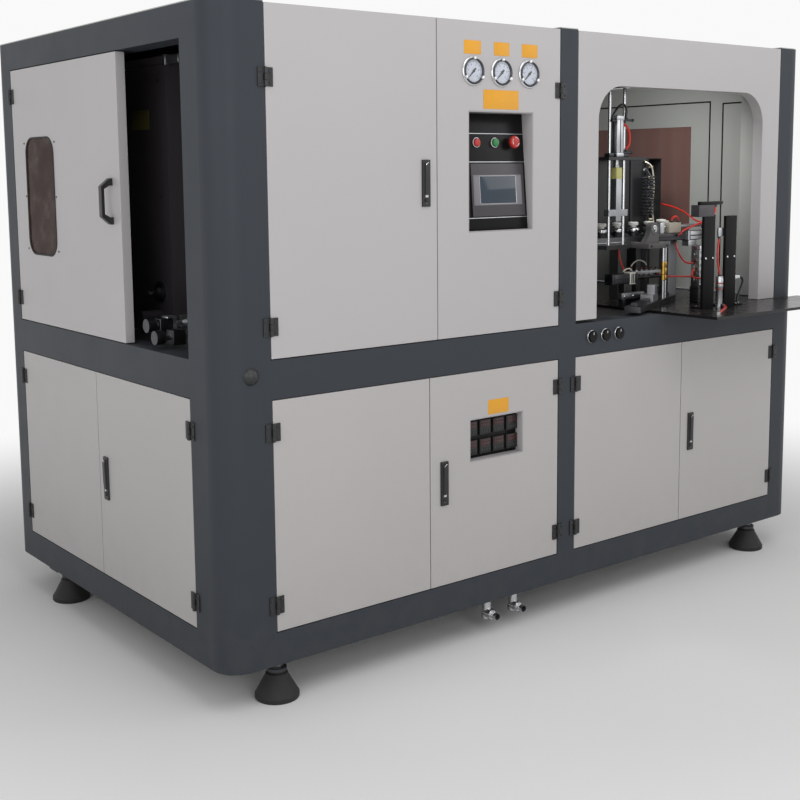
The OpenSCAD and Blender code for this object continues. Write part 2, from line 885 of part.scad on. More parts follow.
// A panel gauge: flange with three lugs, bezel ring, dial and body behind the door
module gauge_body() {
  ring = gauge_body_r + 1;
  rotate([90, 0, 0]) {
    difference() {
      union() {
        cylinder(r = gauge_r - 5, h = 2);
        for (a = [90, 210, 330]) rotate([0, 0, a]) translate([gauge_r - 6, 0, 0]) cylinder(r = 6, h = 2);
        cylinder(r = ring + 2, h = gauge_out);
        translate([0, 0, -gauge_depth]) cylinder(r = gauge_body_r - 0.5, h = gauge_depth + 1);
      }
      translate([0, 0, dial_out]) cylinder(r = ring, h = gauge_out);
      for (a = [90, 210, 330]) rotate([0, 0, a]) translate([gauge_r - 5.5, 0, -cut]) cylinder(r = 1.9, h = 4 * cut);
      translate([0, 0, -cut]) cylinder(r = needle_stem_r + 0.1, h = dial_out + 2 * cut);
    }
  }
}

module gauge_bodies() {
  color(bright_steel)
    for (i = [0:2]) translate([gauge_x + i * gauge_pitch, 0, gauge_z]) gauge_body();
}

needle_stem_r = 1.5;
needle_l = gauge_body_r - 7;
needle_rest = 225;

// A needle on its stem, pointing to the dial's zero
module needle(i) {
  color(black_part)
    translate([gauge_x + i * gauge_pitch, -dial_out, gauge_z]) rotate([90, 0, 0]) {
      translate([0, 0, -3]) cylinder(r = needle_stem_r, h = 4 + eps);
      translate([0, 0, 1]) cylinder(r = 4, h = 2);
      translate([0, 0, 1]) rotate([0, 0, needle_rest]) linear_extrude(1)
        polygon([[-9, -1.8], [-9, 1.8], [needle_l, 0.5], [needle_l, -0.5]]);
    }
}

module left_needle() {
  needle(0);
}

module middle_needle() {
  needle(1);
}

module right_needle() {
  needle(2);
}

// Temperature controllers

heat_x = 895;
heat_w = 232;
heat_z = 480;
heat_h = 138;
heat_d = 62;
heat_face_d = 25;
controller = 48;
controller_cols = 4;
controller_pitch = [58.4, 62];
controller_side = 4;

module temperature_controllers() {
  back_d = heat_face_d + 15;
  color(black_part) {
    difference() {
      block([heat_x + panel_gap, 0, heat_z + panel_gap],
        [heat_x + heat_w - panel_gap, back_d, heat_z + heat_h - panel_gap]);
      block([heat_x + box_wall, -cut, heat_z + box_wall],
        [heat_x + heat_w - box_wall, back_d - box_wall, heat_z + heat_h - box_wall]);
    }
    for (i = [0:controller_cols - 1]) for (j = [0:1]) {
      x = heat_x + box_wall + controller_side + controller / 2 + i * controller_pitch[0];
      z = heat_z + heat_h / 2 + (j - 0.5) * controller_pitch[1];
      difference() {
        block([x - controller / 2, heat_face_d, z - controller / 2],
          [x + controller / 2, heat_d, z + controller / 2]);
        block([x - controller / 2 + 5, heat_face_d - cut, z + 3],
          [x + controller / 2 - 5, heat_face_d + 1.5, z + controller / 2 - 5]);
      }
    }
  }
}

// Regulator knobs

knob_x = 1448;
knob_z = 835;
knob_out = 12;
knob_stem_r = 5;
knob_seat = 0.3;

module knob(i) {
  color(black_part)
    translate([knob_x + i * knob_pitch, -knob_seat, knob_z]) rotate([90, 0, 0]) {
      translate([0, 0, -tube_wall - 6]) cylinder(r = knob_stem_r, h = tube_wall + 6 + eps);
      rotate_extrude($fn = 64)
        polygon([[0, 0], [knob_r - 2, 0], [knob_r, 2], [knob_r, knob_out - 8], [knob_r - 2, knob_out - 3.5],
          [knob_r - 7, knob_out - 0.5], [knob_r - 10, knob_out], [0, knob_out]]);
    }
}

module left_knob() {
  knob(0);
}

module middle_knob() {
  knob(1);
}

module right_knob() {
  knob(2);
}

// Outfeed table

table_z = [bed_z, bed_z + table_t];

module outfeed_table() {
  color("#141416") {
    block([table_x, -table_out, table_z[0]], [body_l, -sheet, table_z[1]]);
    block([table_x, -sheet - eps, table_z[0]], [right_bay[1] - door_gap, table_in, table_z[1]]);
  }
}

upright_t = 10;
riser_r = 14;
riser_h = 114;
upright_xs = [1957, 2083];
upright_y = -68;

module table_uprights() {
  color("#17171a")
    for (x = upright_xs) {
      block([x, upright_y, table_z[1]], [x + upright_w, upright_y + upright_t, table_z[1] + upright_h]);
      block([x, upright_y + upright_t - eps, table_z[1]], [x + upright_w, upright_y + 56, table_z[1] + 8]);
      block([x + 10, upright_y + upright_t - eps, table_z[1] + 8 - eps],
        [x + upright_w + 12, upright_y + 2 * upright_t, table_z[1] + upright_h]);
    }
  color(black_part) {
    block([upright_xs[0] - 28, upright_y + 2, table_z[1] + upright_h],
      [upright_xs[0] + upright_w - 4, upright_y + 40, table_z[1] + upright_h + 42 + eps]);
    block([upright_xs[0] - 21, upright_y + 2, table_z[1] + upright_h + 42],
      [upright_xs[0] + upright_w + 43, upright_y + 18, table_z[1] + upright_h + 55]);
    block([upright_xs[1] + upright_w + 12 - eps, upright_y + 12, table_z[1] + 98],
      [upright_xs[1] + upright_w + 45, upright_y + 24, table_z[1] + 112]);
  }
  color(aluminium_c) {
    rod_z(table_z[1], table_z[1] + riser_h, upright_xs[0] + 109, upright_y + 12, riser_r);
    block([upright_xs[1] - 29, upright_y + upright_t + 1, table_z[1] + 260],
      [upright_xs[1] + 10 + eps, upright_y + 2 * upright_t - 1, table_z[1] + 292]);
    rod_z(table_z[1], table_z[1] + 12, upright_xs[0] - 97, upright_y - 143, 9);
  }
}

// The slanting rail that carries bottles out to the table
rail_root = [2127, 233];
rail_yaw = 24.7;
rail_l = 481;
rail_w = 60;
rail_base_h = 22;
rail_top_h = 12;

module on_rail() {
  translate([rail_root[0], rail_root[1], table_z[1]]) rotate([0, 0, 180 + rail_yaw]) children();
}

module outfeed_rail() {
  color(black_part)
    on_rail() block([0, -rail_w / 2, 0], [rail_l, rail_w / 2, rail_base_h]);
  color(bright_steel)
    on_rail() block([30, -12, rail_base_h], [rail_l - 20, 12, rail_base_h + rail_top_h]);
}

carriage_x = [230, 300];

module outfeed_carriage() {
  top = rail_base_h + rail_top_h;
  color(aluminium_c)
    on_rail() difference() {
      block([carriage_x[0], -24, rail_base_h + 0.4], [carriage_x[1], 24, top + 14]);
      block([carriage_x[0] - cut, -12.4, rail_base_h - cut], [carriage_x[1] + cut, 12.4, top + 0.4]);
    }
  color(plain_steel)
    on_rail() block([carriage_x[0] + 20, -4, top + 14], [carriage_x[1] - 20, 24, top + 50]);
}

// Conveyor and oven

first_x = 1493.6;
front_count = 7;
turn_x = first_x + front_count * spindle_pitch;
turn_y = row_y + turn_r;
track_half = 32;
track_t = 22;
strip_t = 18;

// Plan of the loop, with its band given as a half width
module loop_plan(half) {
  r0 = turn_r - half;
  r1 = turn_r + half;
  difference() {
    union() {
      translate([first_x - spindle_pitch / 2, turn_y - r1]) square([turn_x - first_x + spindle_pitch / 2, 2 * r1]);
      translate([turn_x, turn_y]) circle(r = r1, $fn = 96);
    }
    translate([first_x - spindle_pitch / 2 + 2 * half, turn_y - r0])
      square([turn_x - first_x + spindle_pitch / 2 - 2 * half, 2 * r0]);
    translate([turn_x, turn_y]) circle(r = r0, $fn = 96);
  }
}

column_w = 50;

module conveyor_track() {
  left_x = first_x - spindle_pitch / 2;
  color(black_part)
    translate([0, 0, track_z - track_t]) linear_extrude(track_t) loop_plan(track_half);
  color(aluminium_c)
    block([left_x, row_y - track_half, track_z - track_t - strip_t],
      [turn_x, row_y - track_half + 12, track_z - track_t + eps]);
  color(black_part)
    for (spot = [[left_x + 120, row_y], [turn_x + 44, row_y + 15], [left_x + 120, row_y + 2 * turn_r],
        [turn_x - 60, row_y + 2 * turn_r]])
      block([spot[0] - column_w / 2, spot[1] - column_w / 2 + 2,
          bed_z + (spot[1] < table_in && spot[0] > table_x ? table_t : 0)],
        [spot[0] + column_w / 2, spot[1] + column_w / 2 - 2, track_z - track_t + eps]);
}

// A preform holder: foot disc, bright body and white cap
module spindle() {
  rotate_extrude($fn = 40)
    polygon([[0, 0], [22, 0], [22, 13], [18, 13], [18, 17], [16.5, 19], [16.5, 30], [18, 32], [18, 36],
      [14, 38], [14, 55], [0, 55]]);
}

module spindles() {
  color(bright_steel) {
    for (i = [0:front_count]) for (side = [0, 1])
      translate([first_x + i * spindle_pitch, row_y + side * 2 * turn_r, track_z]) spindle();
    translate([turn_x + turn_r, turn_y, track_z]) spindle();
  }
}

// Ovens: a front reflector row and the lamp bank behind it
reflector_y = 318;
reflector_t = 12;
reflector_end = 2094;
bank_y = [490, 620];
bank_end = 2380;
oven_bottom = track_z + 6;
fin_w = 14;

module oven_housing() {
  left_x = first_x - spindle_pitch / 2;
  count = floor((reflector_end - left_x) / spindle_pitch);
  color(black_part) {
    block([left_x, reflector_y, oven_bottom + 4], [reflector_end, reflector_y + reflector_t, oven_top]);
    for (i = [0:count])
      block([reflector_end - i * spindle_pitch - fin_w, reflector_y - 5, oven_bottom + 4],
        [reflector_end - i * spindle_pitch, reflector_y + eps, oven_top]);
    for (x = [left_x + 130, reflector_end - 60])
      block([x, reflector_y, bed_z + (x > table_x ? table_t : 0)], [x + 30, reflector_y + reflector_t, oven_bottom + 4 + eps]);
    difference() {
      block([left_x, bank_y[0], oven_bottom], [bank_end, bank_y[1], oven_top]);
      block([left_x + 3, bank_y[0] - cut, oven_bottom + 20], [bank_end - 3, bank_y[1] - 30, oven_top - 3]);
      block([left_x + 3, bank_y[1] - 27, oven_bottom + 3], [bank_end - 3, bank_y[1] - 3, oven_top - 3]);
    }
    for (x = [left_x + 40, bank_end - 90])
      block([x, bank_y[0] + 20, bed_z], [x + 50, bank_y[1] - 20, oven_bottom + eps]);
  }
}

lamp_r = 6;
lamp_count = 6;

module heater_lamps() {
  left_x = first_x - spindle_pitch / 2;
  lamp_gap = (oven_top - oven_bottom - 60) / (lamp_count - 1);
  color("#e8d9b0")
    for (i = [0:lamp_count - 1])
      rod_x(left_x + 3, bank_end - 3, bank_y[0] + 45, oven_bottom + 36 + i * (lamp_gap - 2), lamp_r);
}

// Loader at the front of the oven bay

loader_y = 185;
loader_xs = [1728, 1806];
loader_x = (loader_xs[0] + loader_xs[1]) / 2;
loader_rod_r = 6;
loader_plate_z = [1434, 1446];
hanger_z = top_z - 12;
loader_foot_z = track_z - track_t - 2;
carriage_bar = 28;

module loader_plates() {
  bores = loader_rod_r;
  color(black_part) {
    difference() {
      block([loader_xs[0] - 40, loader_y - 36, loader_plate_z[0]], [loader_xs[1] + 84, loader_y + 120, loader_plate_z[1]]);
      for (x = loader_xs) rod_z(loader_plate_z[0] - cut, loader_plate_z[1] + cut, x, loader_y, bores);
      rod_z(loader_plate_z[0] - cut, loader_plate_z[1] + cut, loader_x, loader_y, 9);
    }
    block([loader_xs[0] - 40, beam_d, hanger_z], [loader_xs[1] + 40, loader_y + 40, top_z]);
    block([loader_xs[0] - 20, loader_y - 12, loader_foot_z - 16], [loader_xs[1] + 20, row_y - track_half, loader_foot_z]);
  }
}

cylinder_w = 36;

// A square air cylinder along z with its two end blocks
module air_body(w, h) {
  translate([-w / 2, -w / 2, 0]) cube([w, w, h]);
  translate([-w / 2 - 1.5, -w / 2 - 1.5, 0]) cube([w + 3, w + 3, 14]);
  translate([-w / 2 - 1.5, -w / 2 - 1.5, h - 14]) cube([w + 3, w + 3, 14]);
}

track_under = track_z - track_t - strip_t;
bay_mid = (table_z[1] + track_under) / 2;
low_cylinder = [loader_xs[0] + 22, loader_y + 15, bay_mid - 4];
low_cylinder_l = 140;
cross_z = loader_foot_z + 2;
cross_x = [loader_xs[1] + 159, loader_xs[1] + 494];
cross_y = loader_y + 10;
arm_h = 8;
arm_y = [loader_y - 17, loader_y - 9];
arm_low = 12;
arm_high = 128;

module air_cylinders() {
  color(aluminium_c) {
    difference() {
      translate([loader_x, loader_y, loader_plate_z[1]]) air_body(cylinder_w, 148);
      rod_z(loader_plate_z[1] - cut, loader_plate_z[1] + 130, loader_x, loader_y, 9);
    }
    translate(low_cylinder) rotate([0, 90, 0]) air_body(cylinder_w, low_cylinder_l);
    block([cross_x[0], cross_y - 20, cross_z], [cross_x[1], cross_y + 20, cross_z + 32]);
    block([cross_x[1] - 110, cross_y - 22, cross_z + 32 - eps], [cross_x[1] - 10, cross_y + 22, cross_z + 42]);
  }
  color(black_part) {
    block([low_cylinder[0] + 70, low_cylinder[1] - 15, table_z[1]],
      [low_cylinder[0] + 110, low_cylinder[1] + 15, low_cylinder[2] - cylinder_w / 2 + eps]);
    for (arm = [[arm_low, 63], [arm_high, 68]])
      block([loader_x + cylinder_w / 2 - eps, arm_y[0], loader_plate_z[1] + arm[0]],
        [loader_x + arm[1], arm_y[1], loader_plate_z[1] + arm[0] + arm_h]);
    block([loader_x - cylinder_w / 2 - 27, arm_y[0] - 2, loader_plate_z[1] + arm_high - 2],
      [loader_x - cylinder_w / 2 + eps, arm_y[1] + 2, loader_plate_z[1] + arm_high + 6]);
  }
  color("#b98a4a")
    block([cross_x[0] + 95, cross_y - 18, cross_z + 32], [cross_x[0] + 165, cross_y + 18, cross_z + 70]);
}

// The loader's pusher, held between the two guide rods
module loader_carriage() {
  pusher_z = [loader_foot_z + 86, 1369];
  coupling_z = [1369, 1407];
  color("#c8b04a")
    block([loader_x - 13.5, loader_y - 13.5, coupling_z[0]], [loader_x + 13.5, loader_y + 13.5, coupling_z[1]]);
  color(black_part) {
    difference() {
      union() {
        block([loader_x - carriage_bar / 2, loader_y - carriage_bar / 2, pusher_z[0]],
          [loader_x + carriage_bar / 2, loader_y + carriage_bar / 2, pusher_z[1] + eps]);
        block([loader_xs[0] - 12, loader_y - 12, pusher_z[0] + 20],
          [loader_xs[1] + 12, loader_y + 12, pusher_z[0] + 44]);
      }
      for (x = loader_xs) rod_z(pusher_z[0], pusher_z[1], x, loader_y, loader_rod_r + 0.1);
    }
  }
  color(bright_steel) rod_z(coupling_z[1] - eps, loader_plate_z[1] + 60, loader_x, loader_y, 8);
}

bracket_w = 115;

// Bearing bracket on the track's front strip
module bearing_bracket() {
  base_z = [loader_foot_z - 18, loader_foot_z + 2];
  base_x = [loader_xs[1] + 84, loader_xs[1] + 84 + bracket_w];
  base_y = [130, row_y - track_half];
  boss_x = base_x[0] + 55;
  boss_z = loader_foot_z + 56;
  color(plain_steel)
    difference() {
      union() {
        block([base_x[0], base_y[0], base_z[0]], [base_x[1], base_y[1], base_z[1]]);
        translate([0, base_y[0] + 44, 0]) rotate([90, 0, 0]) linear_extrude(24)
          polygon([[base_x[0] + 6, base_z[1] - eps], [base_x[0] + 72, base_z[1] - eps], [boss_x + 20, boss_z],
            [boss_x - 20, boss_z + 8]]);
        rod_y(base_y[0] + 14, base_y[0] + 50, boss_x, boss_z, 22);
      }
      rod_y(base_y[0] - cut, base_y[0] + 60, boss_x, boss_z, 13);
    }
  color(bright_steel)
    difference() {
      rod_y(base_y[0] + 18, base_y[0] + 46, boss_x, boss_z, 13);
      rod_y(base_y[0], base_y[0] + 60, boss_x, boss_z, 7);
    }
}

stand_x = 1988;
stand_y = 144;

// Every ground round bar of the machine
module ground_rods() {
  color(bright_steel) {
    for (x = loader_xs) rod_z(loader_foot_z, hanger_z, x, loader_y, loader_rod_r);
    rod_z(table_z[1] + rail_base_h, loader_foot_z - 18, stand_x, stand_y, 6);
    for (i = [0:1]) rod_x(transfer_rods[i][0], transfer_end, transfer_rods[i][1], transfer_rods[i][2], transfer_rod_r);
    for (x = tie_xs) for (z = tie_zs) rod_y(clamp_front_y[0], clamp_rear_y[1], x, z, tie_bar_r);
  }
}

stack = [2116, 96];
stack_w = 40;
stack_h = 218;
stack_fittings = 6;
row_x = [1915, 2080];
row_w = 26;
row_z = bay_mid;
row_fittings = 6;
row_pitch = 28.2;
fitting_r = 5;
fitting_l = 12;

// Valve stack on the table and fitting row in the bay
module valve_bank() {
  color(aluminium_c) {
    block([stack[0], stack[1] - stack_w / 2, table_z[1]], [stack[0] + stack_w, stack[1] + stack_w / 2, table_z[1] + stack_h]);
    block([row_x[0], row_y - 5 - row_w / 2, row_z - row_w / 2 - 1], [row_x[1], row_y - 5 + row_w / 2, row_z + row_w / 2 + 1]);
    block([row_x[0] + 25, row_y - 5 - row_w / 2, table_z[1]], [row_x[0] + 45, row_y - 5 + row_w / 2, row_z - row_w / 2]);
  }
  color(red_part) {
    for (i = [0:row_fittings - 1])
      rod_z(row_z + row_w / 2, row_z + row_w / 2 + 1 + fitting_l, row_x[0] + 10 + i * row_pitch, row_y - 5, fitting_r);
    for (i = [0:stack_fittings - 1])
      rod_y(stack[1] - stack_w / 2 - 14, stack[1] - stack_w / 2 + eps, stack[0] + stack_w / 2, table_z[1] + 66 + i * 26, fitting_r + 1);
  }
}

// Hoses of the feed section, each held at both ends: radius and route
hose_routes = [
  // Loader cylinder's lower supply and the loop over its top
  [4.5, [[1790, 172, 1574], [1790, 172, 1567], [1803, 168, 1552], [1812, 166, 1533], [1815, 166, 1508],
    [1811, 168, 1488], [1803, 172, 1475], [1803, 172, 1466]]],
  [4.2, [[1801, 172, 1582], [1801, 172, 1592], [1800, 170, 1612], [1792, 167, 1627], [1776, 166, 1634],
    [1757, 166, 1627], [1740, 167, 1611], [1732, 170, 1597], [1731, 172, 1588], [1731, 172, 1580]]],
  // Loop over the block on the cross cylinder
  [4, [[2084, 186, 1198], [2084, 186, 1209], [2092, 183, 1219], [2104, 182, 1221], [2115, 183, 1215],
    [2122, 186, 1207], [2122, 186, 1198]]],
  // Supplies of the cross cylinder, from its front and from the lamp bank
  [3.2, [[2104, 175, 1150], [2104, 167, 1150], [2108, 160, 1156], [2120, 158, 1167], [2185, 162, 1183],
    [2243, 168, 1193], [2266, 180, 1192], [2274, 190, 1182], [2274, 190, 1170]]],
  [3.2, [[2380, 540, 1262], [2391, 540, 1262], [2408, 520, 1258], [2418, 460, 1246], [2414, 400, 1228],
    [2380, 340, 1212], [2330, 268, 1197], [2296, 214, 1192], [2285, 194, 1182], [2285, 194, 1170]]],
  // From the cross cylinder down to the valve stack
  [3.2, [[2117, 192, 1128], [2117, 192, 1117], [2116, 184, 1096], [2111, 164, 1070], [2100, 136, 1052],
    [2099, 114, 1046], [2107, 102, 1046], [2116, 102, 1046]]],
  // Loop before the valve stack
  [3, [[2116, 92, 1024], [2107, 92, 1024], [2094, 88, 1018], [2080, 82, 1006], [2078, 74, 996], [2090, 64, 992],
    [2112, 58, 990], [2132, 54, 988], [2146, 57, 986], [2150, 66, 986], [2150, 76, 986]]],
  // Fitting row: lead over its tops, feed from the track and hose to the stack
  [2.2, [[1925, 245, 1028], [1925, 245, 1038], [1935, 243, 1048], [1950, 242, 1055], [1968, 242, 1057],
    [1987, 242, 1052], [2002, 243, 1045], [2009.6, 245, 1037], [2009.6, 245, 1028]]],
  [3.2, [[1915, 245, 1004], [1906, 245, 1004], [1895, 248, 1014], [1887, 254, 1034], [1880, 260, 1058],
    [1875, 263, 1084], [1872, 264, 1108], [1872, 264, 1128]]],
  [3.2, [[2050, 232, 1002], [2050, 222, 1002], [2047, 204, 998], [2050, 184, 995], [2064, 164, 994],
    [2084, 142, 994], [2100, 122, 994], [2108, 105, 994], [2116, 105, 994]]],
  // Lead on the low cylinder
  [2.4, [[1830, 200, 1016], [1830, 200, 1024], [1839, 198, 1031], [1853, 197, 1034], [1868, 198, 1031],
    [1873, 200, 1025], [1873, 200, 1016]]],
  // Coiled hose's lead to the reflector, its tail to the table and the strap beside it
  [3.6, [[2061, 286, 1378], [2062, 286, 1388], [2066, 290, 1396], [2071, 300, 1399], [2071, 318, 1399]]],
  [3.6, [[2076, 290, 1217], [2076, 292, 1200], [2077, 300, 1160], [2078, 304, 1100], [2078, 306, 1000],
    [2078, 306, 894]]],
  [3, [[2073, 318, 1428], [2073, 308, 1428], [2088, 294, 1412], [2096, 290, 1370], [2098, 289, 1320],
    [2094, 292, 1272], [2091, 286, 1220], [2088, 275, 1180], [2088, 273, 1160], [2088, 273, 1150]]],
  // Uprights: top supply, riser's supply, hose on the table and hose on the right
  [6, [[2024, -59, 1271], [2024, -59, 1260], [2025, -58, 1248], [2024, -54, 1238], [2024, -54, 1229]]],
  [3.6, [[2066, -56, 1008], [2066, -56, 1017], [2063, -56, 1032], [2058, -55, 1048], [2055, -54, 1080],
    [2058, -53, 1120], [2062, -53, 1142], [2062, -53, 1154]]],
  [5, [[2066, -70.3, 901], [2066, -80, 901], [2040, -106, 899.5], [1995, -134, 899.2], [1950, -160, 899.2],
    [1905, -186, 899.2], [1868, -206, 899.2]]],
  [4.5, [[2190, -50, 999], [2200, -50, 999], [2211, -50, 990], [2213, -50, 976], [2204, -50, 958],
    [2190, -50, 936], [2181, -50, 914], [2181, -50, 894]]]
];
coil_spot = [2061, 286];
coil_z = [1217, 1378];
coil_r = 25.5;
hose_sides = 8;

function unit(v) = v / norm(v);
function hose_way(p, i) = unit(p[min(i + 1, len(p) - 1)] - p[max(i - 1, 0)]);
function hose_side(p, i) = unit(cross([0.02, 1, 0.01], hose_way(p, i)));

// A hose with a ring of points at each point of its route
module hose(route, r) {
  last = len(route) - 1;
  rings = [for (i = [0:last]) for (j = [0:hose_sides - 1])
    let (way = hose_way(route, i), side = hose_side(route, i), turn = j * 360 / hose_sides)
      route[i] + r * (cos(turn) * side + sin(turn) * cross(way, side))];
  walls = [for (i = [0:last - 1]) for (j = [0:hose_sides - 1]) let (k = (j + 1) % hose_sides)
    [i * hose_sides + j, (i + 1) * hose_sides + j, (i + 1) * hose_sides + k, i * hose_sides + k]];
  first_end = [for (j = [0:hose_sides - 1]) j];
  last_end = [for (j = [hose_sides - 1:-1:0]) last * hose_sides + j];
  polyhedron(rings, concat([first_end], walls, [last_end]));
}

module hoses() {
  color(red_part)
    for (entry = hose_routes) hose(entry[1], entry[0]);
  color(black_part)
    translate([coil_spot[0], coil_spot[1], coil_z[0]]) rotate_extrude() square([coil_r, coil_z[1] - coil_z[0]]);
}

// Blow station

transfer_rod_r = 11;
transfer_rods = [[12, 400, bed_z + 36], [32, 480, bed_z + 63]];
transfer_end = 1520;
support_xs = [150, 1470];
clamp_x = [330, 1150];
clamp_mid = (clamp_x[0] + clamp_x[1]) / 2;
platen_t = 50;
mould_t = 120;
plate_t = 34;
platen_z = [980, 1560];
mould_z = [1040, 1400];
tie_xs = [clamp_x[0] + 50, clamp_x[1] - 50];
tie_zs = [platen_z[0] + 45, platen_z[1] - 45];
front_mould_y = parting_y - mould_travel - mould_t;
rear_mould_y = parting_y + mould_travel;
clamp_front_y = [front_mould_y - platen_t - 90 - plate_t, front_mould_y - platen_t - 90];
clamp_rear_y = [rear_mould_y + mould_t + platen_t + 300, rear_mould_y + mould_t + platen_t + 300 + plate_t];
tie_gap = 0.08;
cavity_xs = [clamp_mid - cavity_pitch / 2, clamp_mid + cavity_pitch / 2];

module tie_bores(y0, y1, r) {
  for (x = tie_xs) for (z = tie_zs) rod_y(y0 - cut, y1 + cut, x, z, r);
}

lift_r = 14;
lift_z = [bed_z, 958];
yoke_z = [platen_z[1] + 40, platen_z[1] + 90];
nozzle_rod_r = 12;
nozzle_xs = [clamp_mid - 60, clamp_mid + 60];

module clamp_plates() {
  color(plain_steel) {
    for (y = [clamp_front_y, clamp_rear_y])
      difference() {
        block([clamp_x[0], y[0], bed_z], [clamp_x[1], y[1], yoke_z[1]]);
        tie_bores(y[0], y[1], tie_bar_r);
        if (y == clamp_front_y)
          block([clamp_x[0] + 120, y[0] - cut, platen_z[0]], [clamp_x[1] - 120, y[1] + cut, platen_z[1]]);
        if (y == clamp_rear_y) rod_y(y[0] - cut, y[1] + cut, clamp_mid, ram_z, ram_r + 0.3);
      }
    difference() {
      block([clamp_mid - 110, clamp_front_y[1], yoke_z[0]], [clamp_mid + 110, clamp_rear_y[0], yoke_z[1]]);
      for (x = nozzle_xs) rod_z(yoke_z[0] - cut, yoke_z[1] + cut, x, parting_y, nozzle_rod_r + 0.1);
    }
    for (x = cavity_xs) difference() {
      rod_z(bed_z, lift_z[1], x, parting_y, 30);
      rod_z(bed_z - cut, lift_z[1] + cut, x, parting_y, lift_r + 0.1);
    }
    difference() {
      rod_y(clamp_rear_y[1], clamp_rear_y[1] + 170, clamp_mid, ram_z, 75);
      rod_y(clamp_rear_y[1] - cut, clamp_rear_y[1] + 150, clamp_mid, ram_z, ram_r + 0.3);
    }
    for (x = support_xs) transfer_support(x);
  }
}

ram_r = 30;
ram_z = (platen_z[0] + platen_z[1]) / 2;

// A pedestal that holds both transfer rods
module transfer_support(x) {
  difference() {
    union() {
      block([x, transfer_rods[0][1] - 26, bed_z], [x + 25, transfer_rods[0][1] + 26, transfer_rods[0][2] + 22]);
      block([x, transfer_rods[0][1] - 26, bed_z], [x + 25, transfer_rods[1][1] + 26, bed_z + 16]);
      block([x, transfer_rods[1][1] - 26, bed_z], [x + 25, transfer_rods[1][1] + 26, transfer_rods[1][2] + 22]);
    }
    for (rod = transfer_rods) rod_x(x - cut, x + 25 + cut, rod[1], rod[2], transfer_rod_r);
  }
}

// The gripper slide that carries preforms in and bottles out
transfer_x = 1110;
transfer_l = 190;

module transfer_carriage() {
  low = bed_z + 16;
  color(aluminium_c)
    difference() {
      block([transfer_x, transfer_rods[0][1] - 24, low + 4], [transfer_x + transfer_l, transfer_rods[1][1] + 24, low + 70]);
      for (rod = transfer_rods)
        rod_x(transfer_x - cut, transfer_x + transfer_l + cut, rod[1], rod[2], transfer_rod_r + 0.1);
    }
  color(black_part)
    for (i = [0, 1])
      block([transfer_x + 20 + i * 120, transfer_rods[1][1] + 24 - eps, low + 40],
        [transfer_x + 50 + i * 120, transfer_rods[1][1] + 70, low + 56]);
}

module platen(y) {
  difference() {
    block([clamp_x[0], y, platen_z[0]], [clamp_x[1], y + platen_t, platen_z[1]]);
    tie_bores(y, y + platen_t, tie_bar_r + tie_gap);
  }
}

module front_platen() {
  color(plain_steel) platen(front_mould_y - platen_t);
}

module rear_platen() {
  y = rear_mould_y + mould_t;
  color(plain_steel) {
    platen(y);
    rod_y(y + platen_t - eps, clamp_rear_y[1] + 130, clamp_mid, ram_z, ram_r);
  }
}

mould_x = [clamp_x[0] + 80, clamp_x[1] - 80];
pocket_z = mould_z[0] + 62;

// Bottle cavity, neck down at the mould's lower pocket
module bottle() {
  neck = bottle_r * 0.38;
  rotate_extrude($fn = 48)
    polygon([[0, 0], [neck, 0], [neck, 30], [bottle_r * 0.8, 70], [bottle_r, 95], [bottle_r, 200],
      [bottle_r - 5, 208], [bottle_r - 5, 214], [bottle_r, 222], [bottle_r, 262], [bottle_r - 6, 270], [0, 270]]);
}

// Half a mould from one parting face to its back
module mould_half(y0, y1, face) {
  difference() {
    block([mould_x[0], y0, mould_z[0]], [mould_x[1], y1, mould_z[1]]);
    for (x = cavity_xs) {
      translate([x, face, mould_z[1] + cut]) mirror([0, 0, 1]) bottle();
      block([x - 70, face - 46, mould_z[0] - cut], [x + 70, face + 46, pocket_z]);
    }
  }
}

module front_mould() {
  color(bright_steel) mould_half(front_mould_y, front_mould_y + mould_t, front_mould_y + mould_t);
}

module rear_mould() {
  color(bright_steel) mould_half(rear_mould_y, rear_mould_y + mould_t, rear_mould_y);
}

// Two base inserts on one bar, on rods that slide in the bed's barrels
module base_mould() {
  bar_z = [lift_z[1] + 6, lift_z[1] + 30];
  color(bright_steel) {
    block([cavity_xs[0] - 60, parting_y - 32, bar_z[0]], [cavity_xs[1] + 60, parting_y + 32, bar_z[1]]);
    for (x = cavity_xs) {
      rod_z(bed_z + 6, bar_z[0] + eps, x, parting_y, lift_r);
      rod_z(bar_z[1] - eps, bar_z[1] + 30, x, parting_y, bottle_r);
    }
  }
}

// Blow nozzles on their bar, hung from two guide rods
module blow_head() {
  bar_z = [mould_z[1] + 80, mould_z[1] + 120];
  color(aluminium_c) {
    block([cavity_xs[0] - 50, parting_y - 30, bar_z[0]], [cavity_xs[1] + 50, parting_y + 30, bar_z[1]]);
    for (x = cavity_xs) rod_z(bar_z[0] - 50, bar_z[0] + eps, x, parting_y, 20);
    for (x = nozzle_xs) rod_z(bar_z[1] - eps, yoke_z[1] + 60, x, parting_y, nozzle_rod_r);
  }
}

// Black guard round the clamp unit with its pale top rail
guard_x = 200;
guard_y = 640;
guard_z = 1741;
guard_t = 3;
guard_return = 62;
guard_rail_h = 22;

